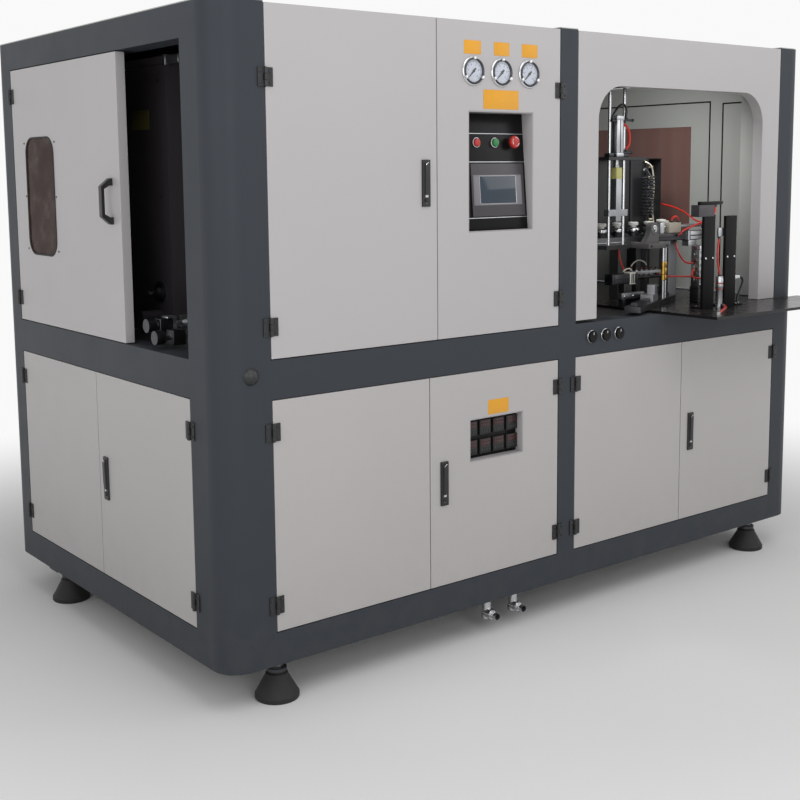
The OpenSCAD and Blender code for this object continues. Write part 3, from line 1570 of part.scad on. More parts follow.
module inner_guard() {
  back = body_d - beam_d - sheet;
  color("#1b1b1d") {
    block([guard_x, guard_y, bed_z], [guard_x + guard_t, back, guard_z]);
    block([guard_x, guard_y, bed_z], [guard_x + guard_return, guard_y + guard_t, guard_z]);
    rod_x(guard_x - 70, guard_x + eps, guard_y + 90, bed_z + 62, 16);
    rod_x(guard_x - 24, guard_x + eps, guard_y + 95, bed_z + 134, 20);
  }
  color(door_paint) {
    block([guard_x - 16, guard_y - 16, guard_z], [guard_x + 8, back, guard_z + guard_rail_h]);
    block([guard_x - 16, guard_y - 16, guard_z], [clamp_x[0], guard_y + 8, guard_z + guard_rail_h]);
  }
}

// Lower compartments

module electrical_plate() {
  plate_y = 700;
  x = [left_bay[0] + 98, left_bay[1] - 100];
  z = [floor_z, mid_beam_z - 38];
  color(plain_steel) {
    block([x[0], plate_y, z[0]], [x[1], plate_y + 3, z[1]]);
    for (xx = x) block([xx == x[0] ? xx : xx - 40, plate_y + 3 - eps, z[0]], [xx == x[0] ? xx + 40 : xx, plate_y + 90, z[0] + 3]);
  }
  color("#e4e3dd")
    for (row = [0:2]) for (i = [0:8])
      block([x[0] + 50 + i * 95, plate_y - 70 - 10 * (row % 2), z[0] + 90 + row * 190],
        [x[0] + 125 + i * 95, plate_y + eps, z[0] + 180 + row * 190]);
  color("#9a9a96")
    for (row = [0:3])
      block([x[0] + 20, plate_y - 50, z[0] + 20 + row * 190], [x[1] - 20, plate_y + eps, z[0] + 55 + row * 190]);
}

module air_tank() {
  tank_r = 160;
  x = [right_bay[0] + 181, right_bay[1] - 235];
  y = 900;
  z = floor_z + tank_r + 40;
  color("#3c5f86") {
    translate([x[0], y, z]) rotate([0, 90, 0]) rotate_extrude($fn = 64)
      polygon([[0, 0], [tank_r * 0.6, 8], [tank_r * 0.88, 28], [tank_r, 60], [tank_r, x[1] - x[0] - 60],
        [tank_r * 0.88, x[1] - x[0] - 28], [tank_r * 0.6, x[1] - x[0] - 8], [0, x[1] - x[0]]]);
    for (xx = [x[0] + 130, x[1] - 190])
      difference() {
        block([xx, y - 110, floor_z], [xx + 60, y + 110, z - 60]);
        rod_x(xx - cut, xx + 60 + cut, y, z, tank_r - 2);
      }
  }
}

place() base_frame();
place() posts();
place() middle_frame();
place() top_frame();
place() bed_plate();
place() cover_panels();
place() right_end_window();
place() window_panel();
place() levelling_feet();
place() frame_hardware();
place() outfeed_table();
place() table_uprights();
place() inner_guard();
place() ground_rods();
place() oven_housing();
place() heater_lamps();
place() conveyor_track();
place() spindles();
place() loader_plates();
place() air_cylinders();
place() bearing_bracket();
place() valve_bank();
place() outfeed_rail();
place() electrical_plate();
place() air_tank();
place() clamp_plates();
place() hoses();
place() upper_left_door();
place() upper_right_door();
place() lower_left_door();
place() lower_right_door();
place() feed_left_door();
place() feed_right_door();
place() end_upper_door();
place() end_far_door();
place() end_near_door();
place() end_door_window();
place() end_door_handle();
place() control_box();
place() operator_screen();
place() stop_button();
place() start_button();
place() emergency_stop();
place() gauge_bodies();
place() left_needle();
place() middle_needle();
place() right_needle();
place() temperature_controllers();
place() left_knob();
place() middle_knob();
place() right_knob();
place() front_platen();
place() rear_platen();
place() front_mould();
place() rear_mould();
place() blow_head();
place() base_mould();
place() loader_carriage();
place() transfer_carriage();
place() outfeed_carriage();
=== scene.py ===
"""Looks of an enclosed stretch blow moulding machine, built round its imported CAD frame.

Lengths in this file are machine millimetres: X runs right from the left end, Y back from the doors'
faces and Z up from the frame's lower edge. Surfaces are worked out as whole numpy arrays and turned
into metres in the frame's own axes when a piece is made.
"""
import math

import bpy
import numpy as np
from mathutils import Euler, Matrix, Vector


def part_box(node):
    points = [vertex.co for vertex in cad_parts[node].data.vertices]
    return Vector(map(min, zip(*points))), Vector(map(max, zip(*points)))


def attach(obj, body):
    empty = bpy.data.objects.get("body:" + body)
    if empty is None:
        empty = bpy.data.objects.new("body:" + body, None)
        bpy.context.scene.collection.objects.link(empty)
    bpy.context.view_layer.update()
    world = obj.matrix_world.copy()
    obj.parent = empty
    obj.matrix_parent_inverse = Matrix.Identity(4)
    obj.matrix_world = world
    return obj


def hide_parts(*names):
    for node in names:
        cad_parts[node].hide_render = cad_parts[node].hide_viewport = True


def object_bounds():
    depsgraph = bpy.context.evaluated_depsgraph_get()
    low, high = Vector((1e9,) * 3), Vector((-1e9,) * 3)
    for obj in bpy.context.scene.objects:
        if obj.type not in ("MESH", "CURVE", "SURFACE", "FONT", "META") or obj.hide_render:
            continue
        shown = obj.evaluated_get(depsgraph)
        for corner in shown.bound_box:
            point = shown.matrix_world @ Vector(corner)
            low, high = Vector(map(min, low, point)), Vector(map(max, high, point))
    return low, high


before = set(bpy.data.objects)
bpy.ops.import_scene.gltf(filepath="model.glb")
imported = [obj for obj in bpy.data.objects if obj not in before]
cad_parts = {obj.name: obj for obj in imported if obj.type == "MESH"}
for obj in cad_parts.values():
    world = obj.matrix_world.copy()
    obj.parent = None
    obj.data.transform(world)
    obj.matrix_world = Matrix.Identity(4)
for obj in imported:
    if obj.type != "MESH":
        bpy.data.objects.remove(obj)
cad_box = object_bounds()
corner = np.array(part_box("posts")[0])

mm = 0.001
front, back = (0, -1, 0), (0, 1, 0)
left, right = (-1, 0, 0), (1, 0, 0)
above = (0, 0, 1)
table_top, track_top = 894, 1150
crease = math.radians(35)

bl_info = {
    "name": "Blow moulding machine looks",
    "version": right,
    "blender": (4, 5, 0),
    "location": "3D View > Sidebar > Machine",
    "description": "Surfaces, finishes and small parts of a blow moulding machine",
    "category": "Object",
}


# Geometry: surfaces as numpy arrays

def spot(*point):
    """A machine point in the frame's metres."""
    return corner + np.asarray(point, float) * mm


def extent(node):
    """A CAD node's lowest and highest corners in machine millimetres."""
    low, high = (np.array(c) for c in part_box(node))
    return (low - corner) / mm, (high - corner) / mm


def middle(node):
    """The middle of a CAD node's box in machine millimetres."""
    low, high = extent(node)
    return (low + high) / 2


def unit(direction):
    """A direction of length one."""
    return np.asarray(direction, float) / np.linalg.norm(direction)


def axes_of(direction):
    """Two directions across a given one, and the direction itself, all of length one and right-handed."""
    w = unit(direction)
    seed = np.eye(3)[np.argmin(np.abs(w))]
    u = np.cross(seed, w)
    u /= np.linalg.norm(u)
    return u, np.cross(w, u), w


def other_axes(axis):
    """The two axes that follow one, in turning order."""
    return (axis + 1) % 3, (axis + 2) % 3


def circle(n):
    """Angles of n points once round."""
    return np.linspace(0, 2 * np.pi, n, endpoint=False)


def skin(rings, closed=False):
    """Surface through rings of equal point counts: point (i, j) is joined to (i+1, j+1) by a quad.

    Rings run anticlockwise seen from the far end; the first and last are capped flat unless the
    row of rings is itself closed.
    """
    rings = np.asarray(rings, float)
    m, n = rings.shape[:2]
    rows = m if closed else m - 1
    i, j = (a.ravel() for a in np.meshgrid(np.arange(rows), np.arange(n), indexing="ij"))
    i_next, j_next = (i + 1) % m, (j + 1) % n
    faces = np.stack([i * n + j, i * n + j_next, i_next * n + j_next, i_next * n + j], 1).tolist()
    if not closed:
        faces += [list(range(n))[::-1], list(range((m - 1) * n, m * n))]
    return rings.reshape(-1, 3), faces


def outline(x0, x1, y0, y1, r=1.0, k=4):
    """Round-cornered rectangle of 4k points: quarter circles of radius r about four corner centres."""
    r = max(min(r, (x1 - x0) / 2 - 0.01, (y1 - y0) / 2 - 0.01), 0.01)
    quarter = np.linspace(0, np.pi / 2, k)
    turn = np.repeat(np.arange(4), k) * np.pi / 2 + np.tile(quarter, 4)
    x = np.repeat([x1 - r, x0 + r, x0 + r, x1 - r], k) + r * np.cos(turn)
    y = np.repeat([y1 - r, y1 - r, y0 + r, y0 + r], k) + r * np.sin(turn)
    return np.stack([x, y], 1)


def lift(ring, height, up=2):
    """Plane outline moved to a height along axis up, its two coordinates going to the next two axes."""
    u, v = other_axes(up)
    out = np.empty((len(ring), 3))
    out[:, u], out[:, v], out[:, up] = ring[:, 0], ring[:, 1], height
    return out


def block(low, high, r=1.5, corner_r=None, up=2, k=4):
    """Box with rounded edges: the outline's inset follows a quarter circle of radius r at both ends."""
    low, high = np.minimum(low, high).astype(float), np.maximum(low, high).astype(float)
    u, v = other_axes(up)
    r = min(r, (high - low).min() / 2.02)
    corner_r = r if corner_r is None else corner_r
    turn = np.linspace(0, np.pi / 2, 3)
    inset, rise = r * (1 - np.sin(turn)), r * (1 - np.cos(turn))
    insets = np.concatenate([inset, inset[::-1]])
    heights = np.concatenate([low[up] + rise, high[up] - rise[::-1]])
    return skin([lift(outline(low[u] + d, high[u] - d, low[v] + d, high[v] - d, corner_r - d, k), h, up)
                 for d, h in zip(insets, heights)])


def lathe(profile, centre, axis, n=24, hollow=False):
    """Profile of (radius, height) pairs turned about an axis: radius times (cos, sin) plus height.

    A hollow one joins its last circle to its first and leaves the middle open.
    """
    u, v, w = axes_of(axis)
    r, h = np.array(profile, float).T
    r = np.maximum(r, 0.01)
    turn = circle(n)
    spokes = np.cos(turn)[:, None] * u + np.sin(turn)[:, None] * v
    return skin(np.asarray(centre, float) + r[:, None, None] * spokes + h[:, None, None] * w, closed=hollow)


def curve(points, steps=6):
    """Smooth line through points: cubic through each pair with the neighbours' chord as its slope."""
    p = np.asarray(points, float)
    p = np.concatenate([[2 * p[0] - p[1]], p, [2 * p[-1] - p[-2]]])
    t = np.linspace(0, 1, steps, endpoint=False)[:, None, None]
    a, b, c, d = p[:-3], p[1:-2], p[2:-1], p[3:]
    q = 0.5 * (2 * b + (c - a) * t + (2 * a - 5 * b + 4 * c - d) * t ** 2 + (3 * b - a - 3 * c + d) * t ** 3)
    return np.concatenate([q.transpose(1, 0, 2).reshape(-1, 3), p[-2:-1]])


def flat_normal(path):
    """Direction square to the plane that a path's points lie nearest to."""
    flat = path - path.mean(0)
    return np.linalg.svd(flat.T @ flat)[0][:, 2]


def sweep(path, radius, tangent, side, n, closed=False):
    """Circles of a radius set along a path, each across its tangent and begun at its side direction."""
    turn = circle(n)[None, :, None]
    spokes = np.cos(turn) * side[:, None] + np.sin(turn) * np.cross(tangent, side)[:, None]
    return skin(path[:, None] + radius * spokes, closed)


def tube(path, radius, n=8):
    """Circle of the given radius carried along a path, square to it, with one reference direction."""
    path = np.asarray(path, float)
    tangent = np.gradient(path, axis=0)
    tangent /= np.linalg.norm(tangent, axis=1)[:, None]
    seed = flat_normal(path) + np.array([0.013, 0.007, 0.011])
    side = np.cross(seed, tangent)
    side /= np.linalg.norm(side, axis=1)[:, None]
    r = np.broadcast_to(np.asarray(radius, float), len(path))[:, None, None]
    return sweep(path, r, tangent, side, n)


def helix(centre, axis, radius, pitch, turns):
    """Points of a coil, 14 a turn: radius times (cos, sin) while the height grows by pitch each turn."""
    u, v, w = axes_of(axis)
    t = np.linspace(0, turns, int(turns * 14))[:, None]
    angle = 2 * np.pi * t
    return np.asarray(centre, float) + radius * (np.cos(angle) * u + np.sin(angle) * v) + pitch * t * w


def ring(centre, axis, radius, thick, n=32, m=8):
    """Circle of radius thick carried round a circle of the given radius about an axis."""
    u, v, w = axes_of(axis)
    a, b = circle(n), circle(m)[None, :, None]
    out = (np.cos(a)[:, None] * u + np.sin(a)[:, None] * v)[:, None]
    return skin(np.asarray(centre, float) + (radius + thick * np.cos(b)) * out - thick * np.sin(b) * w, True)


def hoop(path, radius, n=8):
    """Circle of the given radius carried round a closed flat path, square to it."""
    path = np.asarray(path, float)
    tangent = np.roll(path, -1, 0) - np.roll(path, 1, 0)
    tangent /= np.maximum(np.linalg.norm(tangent, axis=1), 1e-9)[:, None]
    return sweep(path, radius, tangent, np.cross(flat_normal(path), tangent), n, closed=True)


def loft(stations, axis=0):
    """Four-sided bar through stations of (place, middle, half width, middle, half height) along an axis."""
    place, cu, hu, cv, hv = np.array(stations, float).T[:, :, None]
    rings = np.empty((len(stations), 4, 3))
    u, v = other_axes(axis)
    rings[:, :, axis] = place
    rings[:, :, u] = cu + hu * np.array([1, -1, -1, 1])
    rings[:, :, v] = cv + hv * np.array([1, 1, -1, -1])
    return skin(rings)


def screw(centre, axis, radius=4.0, n=12):
    """Low round head with a sunk middle, turned from its outline."""
    rise = [(radius * r, radius * h) for r, h in ((1, 0.35), (0.75, 0.6), (0.42, 0.6), (0.36, 0.2), (0, 0.2))]
    return lathe([(radius, -0.5), *rise], centre, axis, n)


def screws(spots, axis, radius=4.0):
    """One surface of like screws."""
    return joined([screw(place, axis, radius) for place in spots])


def lettering(text, size, centre, depth=0.3):
    """Raised figures facing the front: the font's outline extruded, reading along X and standing along Z."""
    data = bpy.data.curves.new("figures", "FONT")
    data.body, data.size, data.extrude = text, size, depth / 2
    data.align_x, data.align_y, data.resolution_u = "CENTER", "CENTER", 2
    holder = bpy.data.objects.new("figures", data)
    mesh = holder.to_mesh()
    points = np.empty(len(mesh.vertices) * 3)
    mesh.vertices.foreach_get("co", points)
    points = points.reshape(-1, 3)
    corners, starts = np.empty(len(mesh.loops), int), np.empty(len(mesh.polygons), int)
    mesh.loops.foreach_get("vertex_index", corners)
    mesh.polygons.foreach_get("loop_start", starts)
    faces = [list(face) for face in np.split(corners, starts[1:])]
    holder.to_mesh_clear()
    bpy.data.objects.remove(holder)
    bpy.data.curves.remove(data)
    return np.stack([points[:, 0], -points[:, 2], points[:, 1]], 1) + np.asarray(centre, float), faces


def joined(shapes):
    """Several surfaces as one: points in a row, and each face's numbers moved on by the points before."""
    points, faces, start = [], [], 0
    for p, f in shapes:
        points.append(p)
        faces.extend([[i + start for i in face] for face in f])
        start += len(p)
    return np.concatenate(points), faces


def moved(shape, offset):
    """The same surface moved by an offset."""
    return shape[0] + np.asarray(offset, float), shape[1]


def turned(shape, centre, axis, degrees):
    """The same surface turned about an axis through a centre, by the rotation formula of Rodrigues."""
    w, centre = unit(axis), np.asarray(centre, float)
    p = shape[0] - centre
    a = math.radians(degrees)
    q = p * math.cos(a) + np.cross(w, p) * math.sin(a) + np.outer(p @ w, w) * (1 - math.cos(a))
    return q + centre, shape[1]


def smooth(mesh):
    """Smooth shading, kept sharp where two faces meet at more than the crease angle."""
    mesh.shade_smooth()
    mesh.set_sharp_from_angle(angle=crease)


def piece(name, parts, body):
    """One object from (surface, finish) pairs, riding on a body: points go from millimetres to the frame."""
    mesh = bpy.data.meshes.new(name)
    points, faces = joined([shape for shape, _ in parts])
    mesh.from_pydata(corner + points * mm, [], faces)
    used = list(dict.fromkeys(finish for _, finish in parts))
    for finish in used:
        mesh.materials.append(finishes()[finish])
    index = np.repeat([used.index(finish) for _, finish in parts], [len(shape[1]) for shape, _ in parts])
    mesh.polygons.foreach_set("material_index", index.astype(np.int32))
    smooth(mesh)
    mesh.validate()
    made = bpy.data.objects.new(name, mesh)
    bpy.context.scene.collection.objects.link(made)
    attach(made, body)
    return made


# Finishes: procedural materials

def tone(red, green, blue, gain=1.0):
    """Linear colour of an sRGB colour given as 0-255, times a gain."""
    c = np.array([red, green, blue], float) / 255
    c = np.where(c <= 0.04045, c / 12.92, ((c + 0.055) / 1.055) ** 2.4) * gain
    return (*np.clip(c, 0, 1), 1.0)


class Wire:
    """A socket's value that can be used in sums, differences and products."""

    def __init__(self, nodes, socket):
        self.nodes, self.socket = nodes, socket

    def maths(self, operation, first, second):
        """The outcome of a Math node's operation on two wires or numbers."""
        return self.nodes.node("ShaderNodeMath", {"operation": operation}, {0: first, 1: second})

    def __add__(self, other):
        return self.maths("ADD", self, other)

    def __radd__(self, other):
        return self.maths("ADD", other, self)

    def __sub__(self, other):
        return self.maths("SUBTRACT", self, other)

    def __rsub__(self, other):
        return self.maths("SUBTRACT", other, self)

    def __mul__(self, other):
        return self.maths("MULTIPLY", self, other)

    def __rmul__(self, other):
        return self.maths("MULTIPLY", other, self)

    def step(self, low, high):
        """0 below low, 1 above high, with a smooth rise between them."""
        return self.nodes.node("ShaderNodeMapRange", {"interpolation_type": "SMOOTHSTEP"},
                               {0: self, 1: low, 2: high, 3: 0.0, 4: 1.0})


class Nodes:
    """The nodes of a material or a world."""

    def __init__(self, owner):
        owner.use_nodes = True
        self.tree = owner.node_tree

    def node(self, kind, settings=None, values=None, output=0):
        """Adds a node, sets it up, links or sets its sockets and gives one output."""
        made = self.tree.nodes.new(kind)
        for key, value in (settings or {}).items():
            setattr(made, key, value)
        for key, value in (values or {}).items():
            self.feed(made.inputs[key], value)
        return Wire(self, made.outputs[output])

    def feed(self, socket, value):
        """Links a wire to a socket, or sets the socket's own value."""
        if isinstance(value, Wire):
            self.tree.links.new(value.socket, socket)
        else:
            socket.default_value = value


class Finish(Nodes):
    """A procedural material on Object coordinates, in metres from the frame's origin."""

    def __init__(self, name):
        self.material = bpy.data.materials.new(name)
        super().__init__(self.material)
        self.shader = self.tree.nodes["Principled BSDF"]
        self.place = self.node("ShaderNodeTexCoord", output="Object")

    def noise(self, scale, detail=2.0, stretch=(1, 1, 1), seed=0.0):
        """Noise of scale lumps a metre, stretched along an axis where its factor is small."""
        place = self.node("ShaderNodeMapping", {},
                          {"Vector": self.place, "Scale": stretch, "Location": (seed,) * 3})
        return self.node("ShaderNodeTexNoise", {}, {"Vector": place, "Scale": scale, "Detail": detail})

    def coordinate(self, axis):
        """One coordinate in metres."""
        return self.node("ShaderNodeSeparateXYZ", {}, {0: self.place}, axis)

    def upward(self):
        """How far the surface faces up, from 0 to 1."""
        normal = self.node("ShaderNodeTexCoord", output="Normal")
        return self.node("ShaderNodeSeparateXYZ", {}, {0: normal}, 2).step(0.6, 1.0)

    def mix(self, factor, first, second):
        """Colour between two colours."""
        return self.node("ShaderNodeMix", {"data_type": "RGBA", "clamp_factor": True},
                         {0: factor, 6: first, 7: second}, 2)

    def bump(self, height, strength, distance):
        """A normal bent by a height."""
        return self.node("ShaderNodeBump", {}, {"Height": height, "Strength": strength, "Distance": distance})

    def wear(self, **sockets):
        """Sets or links the shader's sockets, named with underscores for spaces."""
        for key, value in sockets.items():
            self.feed(self.shader.inputs[key.replace("_", " ")], value)
        return self.material


def paint(name, colour, roughness, grain=1000, speckle=0.03, cloud=0.04, dust=0.3, bump=0.07, specular=0.5,
          fittings=False):
    """Sprayed paint: fine grain and slow clouds of tone, settled dust on flat tops and the lowest parts.

    With fittings, what stands proud of the front or the left end's faces is black, as hinges and locks are.
    """
    f = Finish(name)
    fine, wide = f.noise(grain, 2), f.noise(2.3, 4, seed=3.1)
    light = 0.5 + (fine - 0.5) * (speckle * 8) + (wide - 0.5) * (cloud * 8)
    shade = f.mix(light, tone(*colour, gain=0.88), tone(*colour, gain=1.12))
    low = 1 - f.coordinate(2).step(0.0, 0.5)
    film = (f.upward() * 0.8 + low * 0.35) * f.noise(22, 5, seed=7.7).step(0.35, 0.75) * dust
    base = f.mix(film, shade, tone(128, 122, 112))
    smudge = f.noise(9, 6, seed=1.7)
    if fittings:
        proud = 0.00015
        before, beside = (1 - f.coordinate(axis).step(corner[axis] - 2 * proud, corner[axis] - proud)
                          for axis in (1, 0))
        base = f.mix(before + beside, base, tone(24, 24, 26))
    gloss = roughness + (smudge - 0.5) * 0.16 + film * 0.4
    relief = f.bump(fine + f.noise(grain / 6, 2) * 0.6, bump, 0.0004)
    return f.wear(Base_Color=base, Roughness=gloss, Specular_IOR_Level=specular, Normal=relief)


def plastic(name, colour, roughness, grain=1600, bump=0.06, specular=0.5):
    """Moulded plastic: even colour with a faint texture and fingerprints in the gloss."""
    f = Finish(name)
    fine, touch = f.noise(grain, 2), f.noise(35, 5, seed=2.2)
    base = f.mix(f.noise(14, 3, seed=5.0), tone(*colour, gain=0.92), tone(*colour, gain=1.08))
    return f.wear(Base_Color=base, Roughness=roughness + (touch - 0.5) * 0.14, Specular_IOR_Level=specular,
                  Normal=f.bump(fine, bump, 0.0003))


def metal(name, colour, roughness, stretch=(1, 1, 1), scratch=0.08):
    """Bare metal: brushed or turned lines from stretched noise, with duller handled spots."""
    f = Finish(name)
    lines, spots = f.noise(700, 3, stretch), f.noise(16, 5, seed=4.0)
    base = f.mix(spots.step(0.3, 0.8), tone(*colour), tone(*colour, gain=0.82))
    gloss = roughness + (spots - 0.5) * 0.2 + (lines - 0.5) * 0.1
    return f.wear(Base_Color=base, Metallic=1.0, Roughness=gloss, Normal=f.bump(lines, scratch, 0.0003))


def pane(name, colour, alpha, roughness=0.06, stretch=(1, 1, 1), specular=0.5):
    """Tinted clear sheet: a thin film of dust dulls and covers it, drawn out into streaks by stretch."""
    f = Finish(name)
    film = f.noise(12, 6, stretch).step(0.35, 0.8)
    base = f.mix(film * 0.2, tone(*colour), tone(150, 140, 128))
    return f.wear(Base_Color=base, Roughness=roughness + film * 0.1, Alpha=alpha + film * 0.06,
                  Specular_IOR_Level=specular)


made_finishes = {}


def finishes():
    """Every finish by name, made once."""
    if made_finishes:
        return made_finishes
    looks = bpy.context.scene.machine_paint
    made_finishes.update({
        "frame": paint("frame_paint", looks.frame_colour, 0.5, grain=800, speckle=0.09, cloud=0.03,
                       dust=0.2, bump=0.2, specular=0.2),
        "door": paint("door_paint", looks.door_colour, 0.42, grain=1100, speckle=0.02, cloud=0.03,
                      dust=0.12, fittings=True),
        "lower door": paint("lower_door_paint", looks.lower_door_colour, 0.45, grain=1100, speckle=0.02,
                            fittings=True),
        "recess": paint("recess_paint", looks.door_colour, 0.45, grain=1100, speckle=0.02, cloud=0.03,
                        dust=0.12),
        "cover": paint("cover_paint", looks.cover_colour, 0.5, grain=1100, speckle=0.02, dust=0.08),
        "panel black": plastic("panel_black", (17, 16, 18), 0.3, grain=900, bump=0.02, specular=0.15),
        "housing": plastic("screen_housing", (60, 57, 61), 0.4),
        "screen frame": plastic("screen_frame", (116, 114, 119), 0.35),
        "display red": plastic("display_red", (58, 20, 22), 0.12),
        "display line": plastic("display_line", (70, 58, 58), 0.4),
        "key": plastic("controller_key", (40, 44, 43), 0.45),
        "dark steel": metal("dark_steel", (78, 79, 82), 0.38),
        "spring": plastic("spring_hose", (58, 58, 62), 0.25),
        "coupling": plastic("coupling_yellow", (190, 186, 118), 0.5),
        "black": paint("black_paint", (30, 31, 33), 0.4, speckle=0.05, cloud=0.05, bump=0.1),
        "table": paint("table_paint", looks.table_colour, 0.25, grain=700, dust=0.12, bump=0.03,
                       specular=0.3),
        "upright": paint("upright_paint", (22, 21, 23), 0.55, dust=0.15, bump=0.06, specular=0.12),
        "guard": paint("guard_black", (66, 62, 65), 0.5, dust=0.2, bump=0.08, specular=0.4),
        "casting": paint("grey_casting", (92, 90, 90), 0.5, grain=500, speckle=0.05, cloud=0.06, bump=0.3),
        "beige": paint("casting_paint", (176, 170, 156), 0.5, grain=500, speckle=0.05, cloud=0.06, bump=0.3),
        "tank": paint("tank_paint", (52, 84, 122), 0.4, grain=900, bump=0.1),
        "plastic": plastic("black_plastic", (24, 24, 26), 0.42),
        "grey plastic": plastic("grey_plastic", (92, 94, 96), 0.45),
        "pale plastic": plastic("pale_plastic", (214, 212, 204), 0.4),
        "red": plastic("red_plastic", (176, 34, 28), 0.32),
        "green": plastic("green_plastic", (36, 120, 62), 0.32),
        "rubber": plastic("machine_rubber", (34, 33, 33), 0.75, grain=600, bump=0.25),
        "red hose": plastic("red_hose", (206, 46, 34), 0.3),
        "black hose": plastic("black_hose", (20, 20, 22), 0.35),
        "pale hose": plastic("pale_hose", (206, 200, 186), 0.35),
        "steel": metal("machined_steel", (150, 152, 154), 0.38, stretch=(1, 1, 0.05)),
        "bright": metal("ground_steel", (205, 206, 208), 0.2, stretch=(0.05, 1, 1), scratch=0.04),
        "aluminium": metal("aluminium", (188, 190, 193), 0.36, stretch=(0.08, 1, 1)),
        "brass": metal("brass", (196, 158, 84), 0.3),
        "zinc": metal("zinc_plate", (168, 170, 168), 0.42),
        "pane": pane("tinted_pane", (64, 46, 43), 0.86, specular=0.03),
        "end pane": pane("brown_pane", (125, 92, 86), 0.93, stretch=(1, 1, 0.06)),
        "glass": pane("clear_glass", (235, 238, 238), 0.03, roughness=0.1, specular=0.02),
        "lamp": plastic("lamp_glass", (206, 190, 160), 0.12),
        "dial": plastic("dial_white", (206, 211, 224), 0.6, specular=0.1),
        "ink": plastic("ink_black", (22, 22, 24), 0.5),
        "plate yellow": plastic("yellow_plate", (226, 160, 36), 0.45),
        # Painted shade: the guard's yellow plate, given a darker olive colour and less sheen as if in the
        # bay's shadow
        "plate in painted shade": plastic("yellow_plate_painted_shade", (104, 98, 56), 0.5, specular=0.1),
        "plate white": plastic("white_plate", (214, 214, 208), 0.45),
        "screen": plastic("screen_glass", (38, 52, 66), 0.08),
    })
    return made_finishes


# Settings

class MachinePaint(bpy.types.PropertyGroup):
    """Colours of the painted parts, as sRGB numbers from 0 to 255."""

    frame_colour: bpy.props.FloatVectorProperty(name="Frame", description="Paint of the box-section frame",
                                                default=(56, 60, 66), min=0, max=255)
    door_colour: bpy.props.FloatVectorProperty(name="Upper doors", description="Paint of the upper doors",
                                               default=(182, 179, 180), min=0, max=255)
    cover_colour: bpy.props.FloatVectorProperty(name="Covers", description="Paint of the fixed covers",
                                                default=(176, 178, 174), min=0, max=255)
    lower_door_colour: bpy.props.FloatVectorProperty(name="Lower doors",
                                                     description="Paint of the lower doors",
                                                     default=(181, 178, 177), min=0, max=255)
    table_colour: bpy.props.FloatVectorProperty(name="Table", description="Paint of the outfeed table",
                                                default=(26, 25, 26), min=0, max=255)


class EdgeSizes(bpy.types.PropertyGroup):
    """Edge rounding of the CAD parts."""

    fold: bpy.props.FloatProperty(name="Sheet fold", description="Rounding of folded sheet edges",
                                  default=0.0012, unit="LENGTH")
    cast: bpy.props.FloatProperty(name="Machined edge", description="Rounding of machined blocks",
                                  default=0.0008, unit="LENGTH")


class StageSettings(bpy.types.PropertyGroup):
    """Camera and lamps."""

    lens: bpy.props.FloatProperty(name="Lens", description="Focal length fitted to the view", default=54.72)
    key_power: bpy.props.FloatProperty(name="Key lamp", description="Power of the large overhead lamp",
                                       default=42.0, unit="POWER")
    fill_power: bpy.props.FloatProperty(name="Fill lamps", description="Power of the lamps at both sides",
                                        default=24.0, unit="POWER")
    eye_power: bpy.props.FloatProperty(name="Eye lamp", description="Power of the lamp near the camera",
                                       default=22.0, unit="POWER")
    bay_power: bpy.props.FloatProperty(name="Bay lamp", description="Power of the lamp inside the open bay",
                                       default=4.0, unit="POWER")
    sky: bpy.props.FloatProperty(name="Room light", description="Strength of the room's even light",
                                 default=0.34)


# Operators

def dress(node, finish, edge=0.0):
    """Gives a CAD node its finish and, where asked, rounded edges on its merged triangles."""
    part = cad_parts[node]
    part.data.materials.clear()
    part.data.materials.append(finishes()[finish])
    if edge:
        part.modifiers.new("merge", "WELD").merge_threshold = 0.00001
        round_over = part.modifiers.new("round", "BEVEL")
        round_over.width, round_over.segments = edge, 2
        round_over.limit_method, round_over.angle_limit = "ANGLE", math.radians(40)
        round_over.use_clamp_overlap, round_over.harden_normals = False, True
        flat = part.modifiers.new("flat", "WEIGHTED_NORMAL")
        flat.mode, flat.keep_sharp = "FACE_AREA", True
    smooth(part.data)


# CAD nodes by finish, and whether their edges are rounded
cad_finishes = {
    ("frame", False): "base_frame posts middle_frame top_frame",
    ("cover", False): "cover_panels",
    ("end pane", False): "right_end_window",
    ("pane", False): "end_door_window",
    ("door", True): "window_panel upper_left_door upper_right_door end_upper_door",
    ("lower door", True): "lower_left_door lower_right_door feed_left_door feed_right_door end_far_door "
                          "end_near_door",
    ("rubber", False): "levelling_feet",
    ("table", True): "outfeed_table",
    ("upright", False): "table_uprights",
    ("guard", False): "inner_guard",
    ("black", True): "frame_hardware oven_housing loader_plates",
    ("black", False): "control_box",
    ("bright", False): "ground_rods",
    ("lamp", False): "heater_lamps",
    ("steel", False): "bed_plate conveyor_track clamp_plates",
    ("steel", True): "front_platen rear_platen blow_head",
    ("aluminium", False): "air_cylinders valve_bank",
    ("aluminium", True): "front_mould rear_mould base_mould loader_carriage transfer_carriage "
                         "outfeed_carriage",
    ("casting", True): "bearing_bracket",
    ("dark steel", True): "outfeed_rail",
    ("zinc", False): "electrical_plate",
    ("tank", False): "air_tank",
    ("red hose", False): "hoses",
    ("plastic", True): "end_door_handle operator_screen",
    ("plastic", False): "spindles gauge_bodies temperature_controllers left_knob middle_knob right_knob",
    ("ink", False): "left_needle middle_needle right_needle",
    ("red", False): "stop_button emergency_stop",
    ("green", False): "start_button",
}


class MACHINE_OT_cad_finishes(bpy.types.Operator):
    """Gives every CAD part its finish and rounds the folded and machined edges."""

    bl_idname = "machine.cad_finishes"
    bl_label = "Finish the CAD parts"

    def execute(self, context):
        edge = context.scene.machine_edges
        for (finish, rounded), nodes in cad_finishes.items():
            for node in nodes.split():
                dress(node, finish, (edge.fold if "door" in finish else edge.cast) if rounded else 0)
        return {"FINISHED"}


